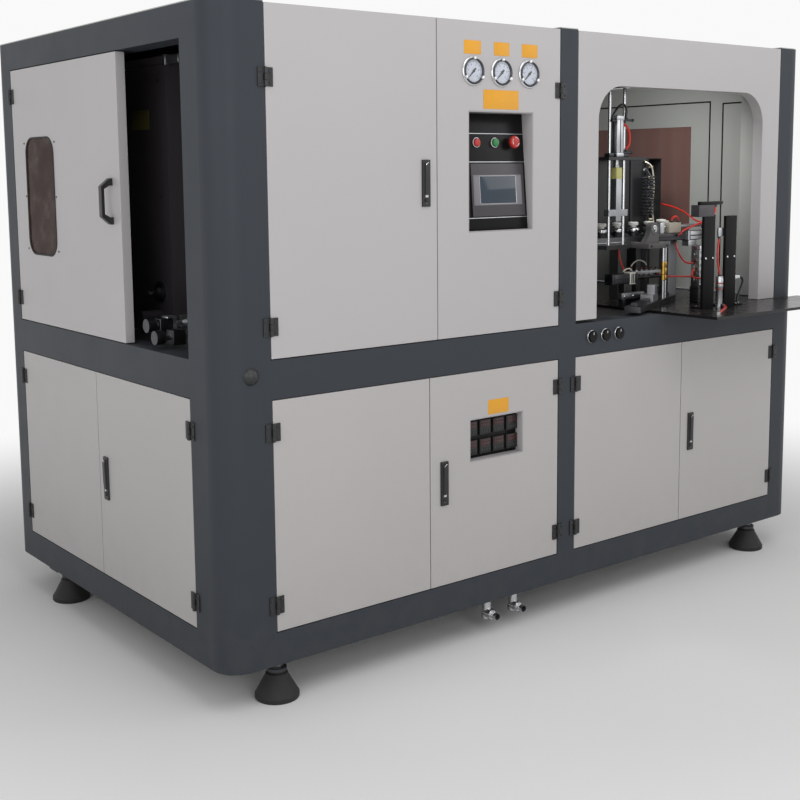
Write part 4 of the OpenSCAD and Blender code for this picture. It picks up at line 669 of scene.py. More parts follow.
def recess_walls(x0, x1, z0, z1, depth):
    """The four thin walls of a recess, just inside its opening."""
    return joined([block((a, 0.5, c), (b, depth, d), 0.6) for a, b, c, d in (
        (x0 + 0.4, x0 + 2.4, z0 + 0.4, z1 - 0.4), (x1 - 2.4, x1 - 0.4, z0 + 0.4, z1 - 0.4),
        (x0 + 2.4, x1 - 2.4, z0 + 0.4, z0 + 2.4), (x0 + 2.4, x1 - 2.4, z1 - 2.4, z1 - 0.4))])


panel_x, panel_y, panel_z = (891, 1167), (21, 53), (1211, 1584)
button_nodes = ("stop_button", "start_button", "emergency_stop")


def on_panel(shape):
    """A surface drawn upright, tilted back about its lower edge as the control panel is."""
    tilt = math.degrees(math.atan2(panel_y[1] - panel_y[0], panel_z[1] - panel_z[0]))
    return turned(shape, (0, panel_y[0], panel_z[0]), right, -tilt)


def button_centres():
    """Where the three buttons' axes meet the panel before it is tilted."""
    return [(x, panel_y[0], z + 1.5) for x, _, z in map(middle, button_nodes)]


class MACHINE_OT_control_panel(bpy.types.Operator):
    """Makes the recess and its tilted black panel with bright lines and the buttons' collars."""

    bl_idname = "machine.control_panel"
    bl_label = "Control panel"

    def execute(self, context):
        (x0, x1), y, (z0, z1), depth = panel_x, panel_y[0], panel_z, 60
        panel = on_panel(block((x0 + 2.4, y, z0 + 2.4), (x1 - 2.4, y + 4, z1 - 3), 0.5))
        rear = block((x0 + 2.4, depth - 2, z0 + 2.4), (x1 - 2.4, depth, z1 - 2.4), 0.5)
        rear_spots = [(x, depth, z) for x in (x0 + 12, x1 - 12) for z in (z0 + 14, z1 - 14)]
        lines = [on_panel(block((x0 + 3, y - 0.8, z - 1.3), (x1 - 3, y + 1, z + 1.3), 0.4))
                 for z in (1253, 1429, 1518)]
        centres = button_centres()
        collar = [(16.5, 0), (16.5, 3), (15.5, 4.5), (14, 5), (13.6, 4), (13.6, 0)]
        collars = [on_panel(lathe(collar, centre, front, 32)) for centre in centres[:2]]
        guard = on_panel(lathe([(15, 0), (15, 2.5), (13, 3.5), (11, 3.5), (11, 0)], centres[2], front, 32))
        piece("control_recess", [
            (recess_walls(x0, x1, z0, z1, depth), "recess"),
            (panel, "panel black"),
            (joined(lines), "aluminium"),
            (rear, "zinc"),
            (screws(rear_spots, back), "dark steel"),
            (joined(collars), "bright"),
            (guard, "plastic"),
        ], "upper_right_door")
        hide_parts("control_box")
        return {"FINISHED"}


class MACHINE_OT_touch_screen(bpy.types.Operator):
    """Makes the operator screen: housing, raised frame with its side strips, glass and bright rim."""

    bl_idname = "machine.touch_screen"
    bl_label = "Operator screen"

    def execute(self, context):
        y = panel_y[0] - 6
        sides = [block((a, y - 2.0, 1296), (b, y, 1384), 0.6) for a, b in ((936, 958), (1116, 1138))]
        parts = [
            (block((928, y, 1257), (1153, y + 6, 1424), 2.5), "housing"),
            (block((934, y - 1.6, 1292), (1140, y + 1, 1388), 1.2, 2), "screen frame"),
            (joined(sides), "screen frame"),
            (block((961, y - 1.9, 1298), (1113, y, 1383), 0.5), "screen"),
            (hoop(lift(outline(1296.5, 1384.5, 959.5, 1114.5, 2), y - 1.7, 1), 0.9, 6), "aluminium"),
        ]
        piece("touch_screen", [(on_panel(shape), finish) for shape, finish in parts],
              "upper_right_door")
        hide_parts("operator_screen")
        return {"FINISHED"}


def turn_arrows(centre):
    """Three white arcs on the emergency stop's head, each growing thicker along a third of the way round."""
    radius, turn = 13.5, np.linspace(0.3, 1.7, 10)
    arcs = []
    for start in (0, 2 * np.pi / 3, 4 * np.pi / 3):
        x, z = radius * np.cos(turn + start), radius * np.sin(turn + start)
        arc = np.stack([centre[0] + x, np.full(10, centre[1] - 26.2), centre[2] + z], 1)
        arcs.append((on_panel(tube(arc, np.linspace(0.5, 1.5, 10), 6)), "plate white"))
    return arcs


class MACHINE_OT_buttons(bpy.types.Operator):
    """Makes the flat red, the tall green and the mushroom-headed emergency button."""

    bl_idname = "machine.buttons"
    bl_label = "Buttons"

    def execute(self, context):
        flat = [(12.8, -1), (12.8, 8), (11.5, 9.6), (9, 10.2), (0, 9.8)]
        tall = [(12.8, -1), (12.8, 10), (12, 11.6), (10.5, 12), (0, 12.4)]
        head = [(9, 0), (9, 12), (17, 13), (20, 15), (20.4, 19), (18.5, 23.5), (13, 26.4), (6, 27.4),
                (0, 27.6)]
        for node, profile, colour, centre in zip(button_nodes, (flat, tall, head), ("red", "green", "red"),
                                                 button_centres()):
            parts = [(on_panel(lathe(profile, centre, front, 36)), colour)]
            if node == "emergency_stop":
                parts += turn_arrows(centre)
            key = piece(node + "_cap", parts, node)
            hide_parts(node)
        return {"FINISHED"}


def dial_marks(centre, zero_angle, scale_angle):
    """Fifty-one ticks clockwise from the zero, every fifth longer and thicker, and every second figure."""
    x, _, z = centre
    ticks, figures = [], []
    for step in range(51):
        start, half = (28, 0.2) if step % 5 else (25.5, 0.45)
        bar = block((x + start, -2.6, z - half), (x + 31, -2.1, z + half), 0.05, k=2)
        ticks.append(turned(bar, centre, front, zero_angle - scale_angle * step / 50))
    for number in range(0, 11, 2):
        a = math.radians(zero_angle - scale_angle * number / 10)
        place = (x + 20.5 * math.cos(a), -2.4, z + 20.5 * math.sin(a))
        figures.append(lettering(str(number), 6.5, place))
    return [(joined(ticks), "ink"), (joined(figures), "ink")]


class MACHINE_OT_gauges(bpy.types.Operator):
    """Makes the three gauges: bright flange and lugs, dark ring, dial with ticks and figures, glass."""

    bl_idname = "machine.gauges"
    bl_label = "Gauges"

    def execute(self, context):
        z, zero_angle, scale_angle = 1704, 225, 270
        flange = [(44, 0.2), (45, 1), (45, 2.6), (43.6, 4.2), (40.5, 5), (40.5, 0.2)]
        bezel = [(40.8, 1), (40.8, 4), (40.2, 7.2), (38, 9), (36, 9), (34.2, 7), (33.4, 1)]
        can = [(33, -3), (33, -38), (12, -40), (9, -58), (0, -58)]
        bodies, glasses = [], []
        for x, needle in ((910, "left_needle"), (1028, "middle_needle"), (1146, "right_needle")):
            centre = (x, 0, z)
            lug = block((x + 34, -10.4, z - 5.5), (x + 43.5, -2, z + 5.5), 1.6)
            bodies += [
                (lathe(flange, centre, front, 64, True), "bright"),
                (lathe(bezel, centre, front, 64, True), "dark steel"),
                (lathe([(33.8, -4), (33.8, 2.2), (0, 2.2)], centre, front, 48), "dial"),
                (lathe(can, centre, front, 32), "plastic"),
                *((turned(lug, centre, front, angle), "bright") for angle in (90, 210, 330)),
                *dial_marks(centre, zero_angle, scale_angle),
            ]
            glasses.append((lathe([(34, 5.2), (34, 6.4), (0, 6.8)], centre, front, 48), "glass"))
            pointer = loft([(-12, -3.6, 0.3, 0, 2.4), (-5, -3.6, 0.3, 0, 3.2), (4, -3.6, 0.3, 0, 2.8),
                            (28, -3.6, 0.25, 0, 0.7)])
            pointer = turned(moved(pointer, centre), centre, front, zero_angle)
            hub = lathe([(4.4, 2.4), (4.4, 4.4), (3.4, 5), (0, 5)], centre, front, 20)
            hand = piece(needle + "_pointer", [(pointer, "ink"), (hub, "ink")], needle)
            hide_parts(needle)
        gauges = piece("pressure_gauges", bodies, "upper_right_door")
        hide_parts("gauge_bodies")
        piece("gauge_glasses", glasses, "upper_right_door")
        return {"FINISHED"}


class MACHINE_OT_temperature_panel(bpy.types.Operator):
    """Makes the lower recess with its eight controllers: bezel, dark displays between lines, keys."""

    bl_idname = "machine.temperature_panel"
    bl_label = "Temperature controllers"

    def execute(self, context):
        x0, x1, z0, z1, depth, face = 895, 1127, 480, 618, 40, 25
        pitch = 58.4
        plate = block((x0 + 2.4, depth - 6, z0 + 2.4), (x1 - 2.4, depth - 2, z1 - 2.4), 0.5)
        parts = [(recess_walls(x0, x1, z0, z1, depth), "recess"), (plate, "panel black")]
        for x, z in [(925 + pitch * column, z) for column in range(4) for z in (518, 580)]:
            rim = hoop(lift(outline(z - 23, z + 23, x - 23, x + 23, 2), face + 1, 1), 0.8, 6)
            parts += [(block((x - 24, face + 1, z - 24), (x + 24, depth + 22, z + 24), 1.5), "plastic"),
                      (rim, "plastic")]
            for low, high in ((1, 11), (12.5, 21)):
                figures = lettering("8888", 8.6, (x + 1, face - 0.1, z + (low + high) / 2), 0.2)
                parts += [(block((x - 20, face, z + low), (x + 20, face + 2, z + high), 0.4), "display red"),
                          (figures, "display line")]
            for line in (z - 0.4, z + 11.7, z + 22):
                bar = block((x - 20.5, face - 0.2, line - 0.5), (x + 20.5, face + 1, line + 0.5), 0.2)
                parts.append((bar, "display line"))
            for key in (x - 19 + 10.5 * k for k in range(4)):
                parts.append((block((key, face - 0.6, z - 16), (key + 7.5, face + 2, z - 9), 0.6), "key"))
        panel = piece("controller_panel", parts, "lower_right_door")
        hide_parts("temperature_controllers")
        return {"FINISHED"}


class MACHINE_OT_regulator_knobs(bpy.types.Operator):
    """Makes the three regulator knobs: fluted black caps in bright collars."""

    bl_idname = "machine.regulator_knobs"
    bl_label = "Regulator knobs"

    def execute(self, context):
        cap = [(19.4, 1), (20.2, 3), (20.4, 9), (19.4, 11.4), (16, 12), (15, 11.2), (6, 11.2), (5.4, 10.4),
               (0, 10.4)]
        collar = [(22, 0.1), (22.4, 1), (22, 3), (20.9, 3.8), (20.5, 2.2), (20.4, 0.1)]
        for name in ("left_knob", "middle_knob", "right_knob"):
            x, _, z = middle(name)
            centre = (x, 0, z)
            flute = block((x + 19.6, -9, z - 1.6), (x + 21.2, -3, z + 1.6), 0.7, k=3)
            flutes = joined([turned(flute, centre, front, 15 * step) for step in range(24)])
            knob = piece(name + "_cap", [
                (lathe(cap, centre, front, 48), "panel black"),
                (flutes, "panel black"),
                (lathe(collar, centre, front, 48), "bright"),
                (block((x - 1, -12.3, z + 6), (x + 1, -11, z + 15), 0.3), "plate white"),
            ], name)
            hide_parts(name)
        return {"FINISHED"}


def lock_shapes():
    """A swing-handle lock about its middle: rimmed plate, channel, lever with its hook, key barrel."""
    half, tall, rim = 15, 70, 1.6
    lever = [(-26, 0, 6.6, -6.5, 2.6), (-10, 0, 7.2, -7, 3.2), (50, 0, 7.2, -7.6, 3.6),
             (58, 0, 6.2, -6.5, 2.6)]
    return [
        (block((-half, -4, -tall), (half, -0.2, tall), 1.2, 3, up=1), "panel black"),
        (hoop(lift(outline(-tall + rim, tall - rim, -half + rim, half - rim, 3), -4, 1), 1.4, 6), "plastic"),
        (loft(lever, 2), "plastic"),
        (tube(curve([(-5, -9.5, 55), (-1, -11, 60), (5, -9.5, 62)], 5), 1.3, 6), "bright"),
        (block((-6.6, -6.4, -62), (6.6, -3.5, -30), 1.2, 6, up=1), "grey plastic"),
        (lathe([(6, 5.5), (6, 8.4), (5, 9), (0, 9)], (0, 0, -52), front), "bright"),
        (block((-0.7, -9.6, -56), (0.7, -8.8, -48), 0.2, k=2), "ink"),
        (block((-5.4, -7.2, -42), (5.4, -6, -31), 0.8, 2, up=1), "pale plastic"),
    ]


def to_end(shape):
    """A surface drawn for the front turned to the left end: X becomes Y, and what faced front faces left."""
    p = shape[0]
    return np.stack([p[:, 1], p[:, 0], p[:, 2]], 1), [face[::-1] for face in shape[1]]


class MACHINE_OT_locks(bpy.types.Operator):
    """Makes the four swing-handle locks over the doors' lock plates."""

    bl_idname = "machine.locks"
    bl_label = "Door locks"

    def execute(self, context):
        lower, upper = 430, 1365
        for body, x, z, at_end in (("upper_left_door", 719.5, upper, False),
                                   ("lower_right_door", 786.5, lower, False),
                                   ("feed_right_door", 1985.5, lower, False),
                                   ("end_near_door", 750.5, lower, True)):
            parts = [(moved(shape, (x, 0, z)), finish) for shape, finish in lock_shapes()]
            if at_end:
                parts = [(to_end(shape), finish) for shape, finish in parts]
            piece(body + "_lock", parts, body)
        return {"FINISHED"}


class MACHINE_OT_hinge_screws(bpy.types.Operator):
    """Makes the screws and pin ends of every hinge, half on the door's leaf and half on the frame's."""

    bl_idname = "machine.hinge_screws"
    bl_label = "Hinge screws"

    def execute(self, context):
        lower, upper, end = (179, 680), (977, 1657), (966, 1672)
        pin_end = [(3.4, 0), (3.4, 1.2), (2.2, 2.2), (0, 2.4)]
        fixed = []
        for body, at, heights, side, at_end in (
                ("upper_left_door", 162, upper, 1, False), ("upper_right_door", 1290, upper, -1, False),
                ("lower_left_door", 162, lower, 1, False), ("lower_right_door", 1290, lower, -1, False),
                ("feed_left_door", 1369, lower, 1, False), ("feed_right_door", 2485, lower, -1, False),
                ("end_upper_door", 1425, end, -1, True), ("end_far_door", 1425, lower, -1, True),
                ("end_near_door", 172, lower, 1, True)):
            spots = [(at + side * 16, -4.2, z + dz) for z in heights for dz in (-15, 15)]
            shapes = screws(spots, front, 3.6)
            frame_side = screws([(at - side * 15, -4.2, z) for _, _, z in spots], front, 3.6)
            pins = joined([lathe(pin_end, (at, -6.5, z + way * 24.8), (0, 0, way), 12)
                           for z in heights for way in (-1, 1)])
            if at_end:
                shapes, frame_side, pins = to_end(shapes), to_end(frame_side), to_end(pins)
            piece(body + "_hinge_screws", [(shapes, "dark steel")], body)
            fixed += [frame_side, pins]
        piece("frame_hinge_screws", [(joined(fixed), "dark steel")], "machine")
        return {"FINISHED"}


class MACHINE_OT_plates(bpy.types.Operator):
    """Makes the bare yellow plates on the doors, and the guard's yellow plate darkened with painted shade."""

    bl_idname = "machine.plates"
    bl_label = "Bare plates"

    def execute(self, context):
        def plate(x0, x1, z0, z1):
            """Thin plate on a door's face."""
            return block((x0, -0.9, z0), (x1, 0.2, z1), 0.4, 1.5, up=1)

        over_gauges = [plate(x0, x1, 1755, 1796) for x0, x1 in ((873, 942), (996, 1061), (1115, 1183))]
        piece("upper_plates", [(joined([*over_gauges, plate(952, 1101, 1591, 1650)]), "plate yellow")],
              "upper_right_door")
        piece("lower_plate", [(plate(972, 1061, 625, 672), "plate yellow")],
              "lower_right_door")
        # The guard's plate is yellow; its finish darkens it with painted shade
        on_guard = to_end(moved(plate(765, 890, 1542, 1603), (0, 200, 0)))
        piece("guard_plate", [(on_guard, "plate in painted shade")], "machine")
        return {"FINISHED"}


class MACHINE_OT_end_window(bpy.types.Operator):
    """Makes the end window's seal and the small screws round it."""

    bl_idname = "machine.end_window"
    bl_label = "End window"

    def execute(self, context):
        y0, y1, z0, z1, corner_r = 1070, 1310, 1127, 1526, 55
        seal = hoop(lift(outline(y0 + 1, y1 - 1, z0 + 1, z1 - 1, corner_r - 1, 12), 0.3, 0), 3.2, 8)
        spots = [(-0.4, y, z) for y in (y0 - 12, y1 + 12) for z in (z0 + 18, (z0 + z1) / 2, z1 - 18)]
        piece("end_window_seal", [(seal, "rubber"), (screws(spots, left, 3.2), "dark steel")],
              "end_upper_door")
        return {"FINISHED"}


class MACHINE_OT_end_seals(bpy.types.Operator):
    """Makes the seals inside the right end cover, and the pale liner of the front post."""

    bl_idname = "machine.end_seals"
    bl_label = "End seals"

    def execute(self, context):
        inner, low_z = 2632.2, 900
        seals = [block((inner - 3, y0, z0), (inner, y1, z1), 1)
                 for y0, y1, z0, z1 in ((440, 1400, 1677, 1683), (440, 446, low_z, 1680),
                                        (180, 380, 1667, 1673), (374, 380, low_z, 1670))]
        piece("right_end_seals", [(joined(seals), "rubber")], "machine")
        liner = block((2480.2, 72, 896), (2482.1, 174, 1754), 0.5)
        piece("right_post_liner", [(liner, "cover")], "machine")
        return {"FINISHED"}


class MACHINE_OT_guard(bpy.types.Operator):
    """Makes the guard's rail joint, its screws, the shaft's end and the blocks by the transfer rods."""

    bl_idname = "machine.guard"
    bl_label = "Guard details"

    def execute(self, context):
        rods = ((400, 920), (480, 947))
        shaft_y, shaft_z = 723, 1020
        spots = [(196, y, z) for y in (690, 980, 1270) for z in (930, 1330, 1690)]
        shaft = [(34, 0), (34, 6), (30, 9), (22, 9), (20, 22), (12, 26), (12, 34), (9, 37), (0, 37)]
        end = [(21, 0), (21, 26), (19, 30), (13, 30), (12.4, 22), (0, 22)]
        ends = [lathe(end, (10 + 14 * k, y, z), right, 36) for k, (y, z) in enumerate(rods)]
        clips = [block((60, y - 22, z - 26), (104, y + 22, z + 20), 2.5) for y, z in rods]
        piece("guard_rail", [
            (block((186, 531, 1737), (198, 1493, 1762), 1.5), "aluminium"),
            (block((183, 612, 1733), (199, 632, 1766), 2), "aluminium"),
            (screws(spots, left, 5), "dark steel"),
            (lathe(shaft, (200, shaft_y, shaft_z), left, 40), "dark steel"),
            (lathe([(9, 0), (9, 7), (7.5, 8.5), (0, 8.5)], (163, shaft_y, shaft_z), left, 6), "bright"),
        ], "machine")
        piece("transfer_ends", [
            (joined(ends), "dark steel"),
            (joined(clips), "dark steel"),
            (block((86, 462, 925), (118, 500, 972), 2), "aluminium"),
        ], "machine")
        return {"FINISHED"}


def cylinder_shapes(low, high, along, body="aluminium"):
    """Profiled air cylinder between two corners: body with grooves, two end blocks with four screws each."""
    low, high = np.array(low, float), np.array(high, float)
    u, v = other_axes(along)
    centre, half = (low + high) / 2, (high - low) / 2
    cap, inset = 15, 1.5
    a, b = low + inset, high - inset
    a[along], b[along] = low[along] + cap, high[along] - cap
    parts = [(block(a, b, 1.5, 4, up=along), body)]
    heads = []
    for end, sign in ((low, 1), (high, -1)):
        c, d = low.copy(), high.copy()
        c[along], d[along] = sorted((end[along], end[along] + sign * cap))
        parts.append((block(c, d, 1.2, 2.5, up=along), body))
        for s, t in ((-1, -1), (-1, 1), (1, -1), (1, 1)):
            place = centre.copy()
            place[along] = end[along]
            place[[u, v]] += np.array([s, t]) * (half[[u, v]] - 6)
            heads.append(screw(place, -sign * np.eye(3)[along], 3.2, 8))
    parts.append((joined(heads), "dark steel"))
    for across, other in ((u, v), (v, u)):
        for edge, sign in ((low[across], 1), (high[across], -1)):
            c, d = a.copy(), b.copy()
            c[other], d[other] = centre[other] - 2.2, centre[other] + 2.2
            c[across], d[across] = sorted((edge + 1.2 * sign, edge + 2.2 * sign))
            parts.append((block(c, d, 0.3, k=2), "ink"))
    return parts


def fitting_shapes(centre, axis, r, h, collar="red"):
    """Push-in fitting of radius r and reach h: hexagon, neck and a coloured release collar about its axis."""
    nut = lathe([(1.15 * r, -1), (1.15 * r, 0.35 * h), (r, 0.4 * h), (0, 0.4 * h)], centre, axis, 6)
    neck = lathe([(0.9 * r, 0), (0.9 * r, 0.8 * h), (0.8 * r, 0.85 * h), (0, 0.85 * h)], centre, axis, 16)
    lip = lathe([(0.7 * r, 0.8 * h), (0.75 * r, h), (0.5 * r, 1.02 * h), (0, h)], centre, axis, 16)
    return [(nut, "zinc"), (neck, "plastic"), (lip, collar)]


class MACHINE_OT_loader(bpy.types.Operator):
    """Makes the loader's cylinder with its fitting arms, the rods' rings and the yellow coupling."""

    bl_idname = "machine.loader"
    bl_label = "Loader"

    def execute(self, context):
        x, y, low_z, high_z, coupling_z = 1767, 185, 1446, 1594, 1408
        arms = [block((1784, 168, 1574), (1835, 176, 1582), 2),
                block((1784, 168, 1458), (1830, 176, 1466), 2),
                block((1722, 166, 1572), (1749, 178, 1580), 2)]
        tips = [lathe([(5, 0), (6, 4), (4, 9), (0, 9)], (tip_x, 172, tip_z), right, 14)
                for tip_x, tip_z in ((1832, 1578), (1827, 1462))]
        clamps = [block((rod - 13, y - 13, low_z), (rod + 13, y + 13, low_z + 14), 2) for rod in (1728, 1806)]
        piece("loader_cylinder", [
            *cylinder_shapes((x - 19.5, y - 19.5, low_z), (x + 19.5, y + 19.5, high_z), 2),
            (joined(arms), "plastic"),
            (joined(tips), "plastic"),
            (joined(clamps), "dark steel"),
        ], "machine")
        piece("loader_coupling", [
            (block((x - 15, y - 15, coupling_z - 41), (x + 15, y + 15, coupling_z), 1.5), "coupling"),
            (lathe([(12, 0), (12, 8), (10.5, 9.5), (0, 9.5)], (x, y, coupling_z), above, 6), "zinc"),
        ], "loader_carriage")
        return {"FINISHED"}


class MACHINE_OT_preform_track(bpy.types.Operator):
    """Makes the preform holders along the loop: ribbed black foot, bright dome and white cap."""

    bl_idname = "machine.preform_track"
    bl_label = "Preform holders"

    def execute(self, context):
        first, pitch, row, turn_r = 1493.6, 88.9, 250, 90
        spots = [(first + i * pitch, y, track_top) for i in range(8) for y in (row, row + 2 * turn_r)]
        spots.append((first + 7 * pitch + turn_r, row + turn_r, track_top))
        foot = [(23, 0), (24, 1), (24, 4), (20, 5), (20, 8), (23, 9), (23, 12), (18, 14), (17, 17), (0, 17)]
        dome = [(17, 16), (22, 18), (23.5, 22), (23, 28), (19, 33), (13, 35), (0, 35)]
        cap = [(11, 34), (11, 40), (18, 41), (19, 43), (19, 50), (17.5, 52.5), (8, 53.5), (0, 53)]
        parts = [(joined([lathe(profile, place, above, 24) for place in spots]), finish)
                 for profile, finish in ((foot, "plastic"), (dome, "bright"), (cap, "plate white"))]
        holders = piece("preform_holders", parts, "machine")
        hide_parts("spindles")
        links = [block((x + 26, y - 8, track_top + 0.5), (x + pitch - 26, y + 8, track_top + 6), 2)
                 for x, y, _ in spots[:14]]
        piece("chain_links", [
            (joined(links), "dark steel"),
            (block((first - 44, row - 34, 1128.5), (first + 7 * pitch, row - 31, 1133), 1), "bright"),
            (screws([(first + i * pitch - 20, row - 32.2, 1119) for i in range(1, 7)], front), "dark steel"),
        ], "machine")
        return {"FINISHED"}


class MACHINE_OT_bearing_bracket(bpy.types.Operator):
    """Makes the cast bearing bracket: base, web and eye with its bush and screws."""

    bl_idname = "machine.bearing_bracket"
    bl_label = "Bearing bracket"

    def execute(self, context):
        low, high = extent("bearing_bracket")
        x, y, z = 1945, low[1], high[2] - 24
        bore = (x, y + 18, z)
        web = loft([(low[2] + 19, x - 16, 38, y + 32, 13), (z - 24, x - 4, 26, y + 32, 12),
                    (z, x, 23, y + 32, 12), (z + 16, x, 16, y + 32, 12)], 2)
        eye = [(22, -28), (24, -26), (24, -2), (22.5, 0), (15, 0), (14, -1), (14, -14), (0, -14)]
        bush = [(13.9, -14.5), (13.9, -1.5), (12.8, -0.8), (8, -0.8), (7.4, -1.5), (7.4, -14)]
        spots = [(low[0] + 12, y - 0.2, low[2] + 10), (high[0] - 12, y - 0.2, low[2] + 10)]
        bracket = piece("bearing_block", [
            (block(low, (high[0], high[1], low[2] + 20), 2), "casting"),
            (web, "casting"),
            (lathe(eye, bore, front, 40), "casting"),
            (lathe(bush, bore, front, 32), "bright"),
            (lathe([(7, -14.5), (7, 1), (5.8, 2.2), (0, 2.2)], bore, front, 24), "bright"),
            (screws(spots, front, 5), "dark steel"),
        ], "machine")
        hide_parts("bearing_bracket")
        return {"FINISHED"}


class MACHINE_OT_cylinders(bpy.types.Operator):
    """Makes the low cylinder and the cross cylinder with their rods, blocks and guide."""

    bl_idname = "machine.cylinders"
    bl_label = "Air cylinders"

    def execute(self, context):
        def rod(y, z, radius, *xs):
            """Rod along X through the given places."""
            return tube([(x, y, z) for x in xs], radius, 16)

        ribs = [block((1850 + 9 * k, 176.6, 980), (1855 + 9 * k, 178.4, 1016), 0.6) for k in range(3)]
        piece("air_cylinder_set", [
            *cylinder_shapes((1750, 180, 978), (1890, 220, 1018), 0, "dark steel"),
            (block((1845, 178, 976), (1875, 222, 1020), 2), "pale plastic"),
            (joined(ribs), "ink"),
            (rod(200, 996, 6, 1889, 1920, 1980, 2039), "dark steel"),
            (block((1820, 185, table_top), (1860, 215, 980), 1.5), "black"),
            *cylinder_shapes((1965, 175, 1128), (2168, 215, 1160), 0, "housing"),
            *cylinder_shapes((2168, 173, 1126), (2300, 217, 1164), 0),
            (block((2177, 178, 1104), (2226, 212, 1127), 2), "aluminium"),
            (block((2060, 177, 1159), (2130, 213, 1198), 2.5), "beige"),
            (rod(195, 1183, 7, 2129, 2160, 2230, 2300), "bright"),
            (rod(195, 1183, 8, 2030, 2050, 2056, 2062), "bright"),
            (block((2010, 178, 1158), (2034, 212, 1200), 2), "aluminium"),
        ], "machine")
        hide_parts("air_cylinders")
        return {"FINISHED"}


class MACHINE_OT_valves(bpy.types.Operator):
    """Makes the upright manifold with its fittings, and the fitting row with its stand."""

    bl_idname = "machine.valves"
    bl_label = "Valves and fittings"

    def execute(self, context):
        x, y, low, top = 2116, 96, 960, 1112
        row_x, row_y, row_top, row_pitch = 1925, 245, 1016, 28.2
        parts = [(block((x - 4, y - 20, table_top), (x + 40, y + 20, low), 1.5), "black"),
                 (block((x, y - 20, low), (x + 14, y + 20, top), 1.5), "aluminium"),
                 (block((x + 26, y - 20, low), (x + 40, y + 20, top), 1.5), "aluminium"),
                 (block((x + 12, y - 14, low + 2), (x + 28, y + 18, top - 6), 1.5), "plastic")]
        for k in range(6):
            collar = "red" if k % 2 else "pale plastic"
            parts += fitting_shapes((x + 20, y - 20, low + 26 * k), front, 5.5, 14)
            parts += fitting_shapes((x + 2, y - 4, low + 24 + 24 * k), left, 4.5, 12, collar)
        ribs = [block((x - 6, y - 22, 900 + 12 * k), (x + 42, y + 22, 904 + 12 * k), 1) for k in range(5)]
        spots = [(x + dx, y - out, z) for out, z in ((22, low + 6), (20.2, 1100)) for dx in (2, 38)]
        row_spots = [(row_x + 1 + row_pitch * k, 231.8, 1002) for k in range(6)]
        parts += [(joined(ribs), "plastic"),
                  (screws(spots, front), "bright"),
                  (block((1915, 232, 988), (2080, 258, row_top), 1.5), "aluminium"),
                  (screws(row_spots, front), "dark steel"),
                  (block((1940, 232, table_top), (1960, 258, 989), 1.5), "black")]
        for k in range(6):
            parts += fitting_shapes((row_x + row_pitch * k, row_y, row_top), above, 5, 12)
        stack = piece("valve_set", parts, "machine")
        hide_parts("valve_bank")
        return {"FINISHED"}
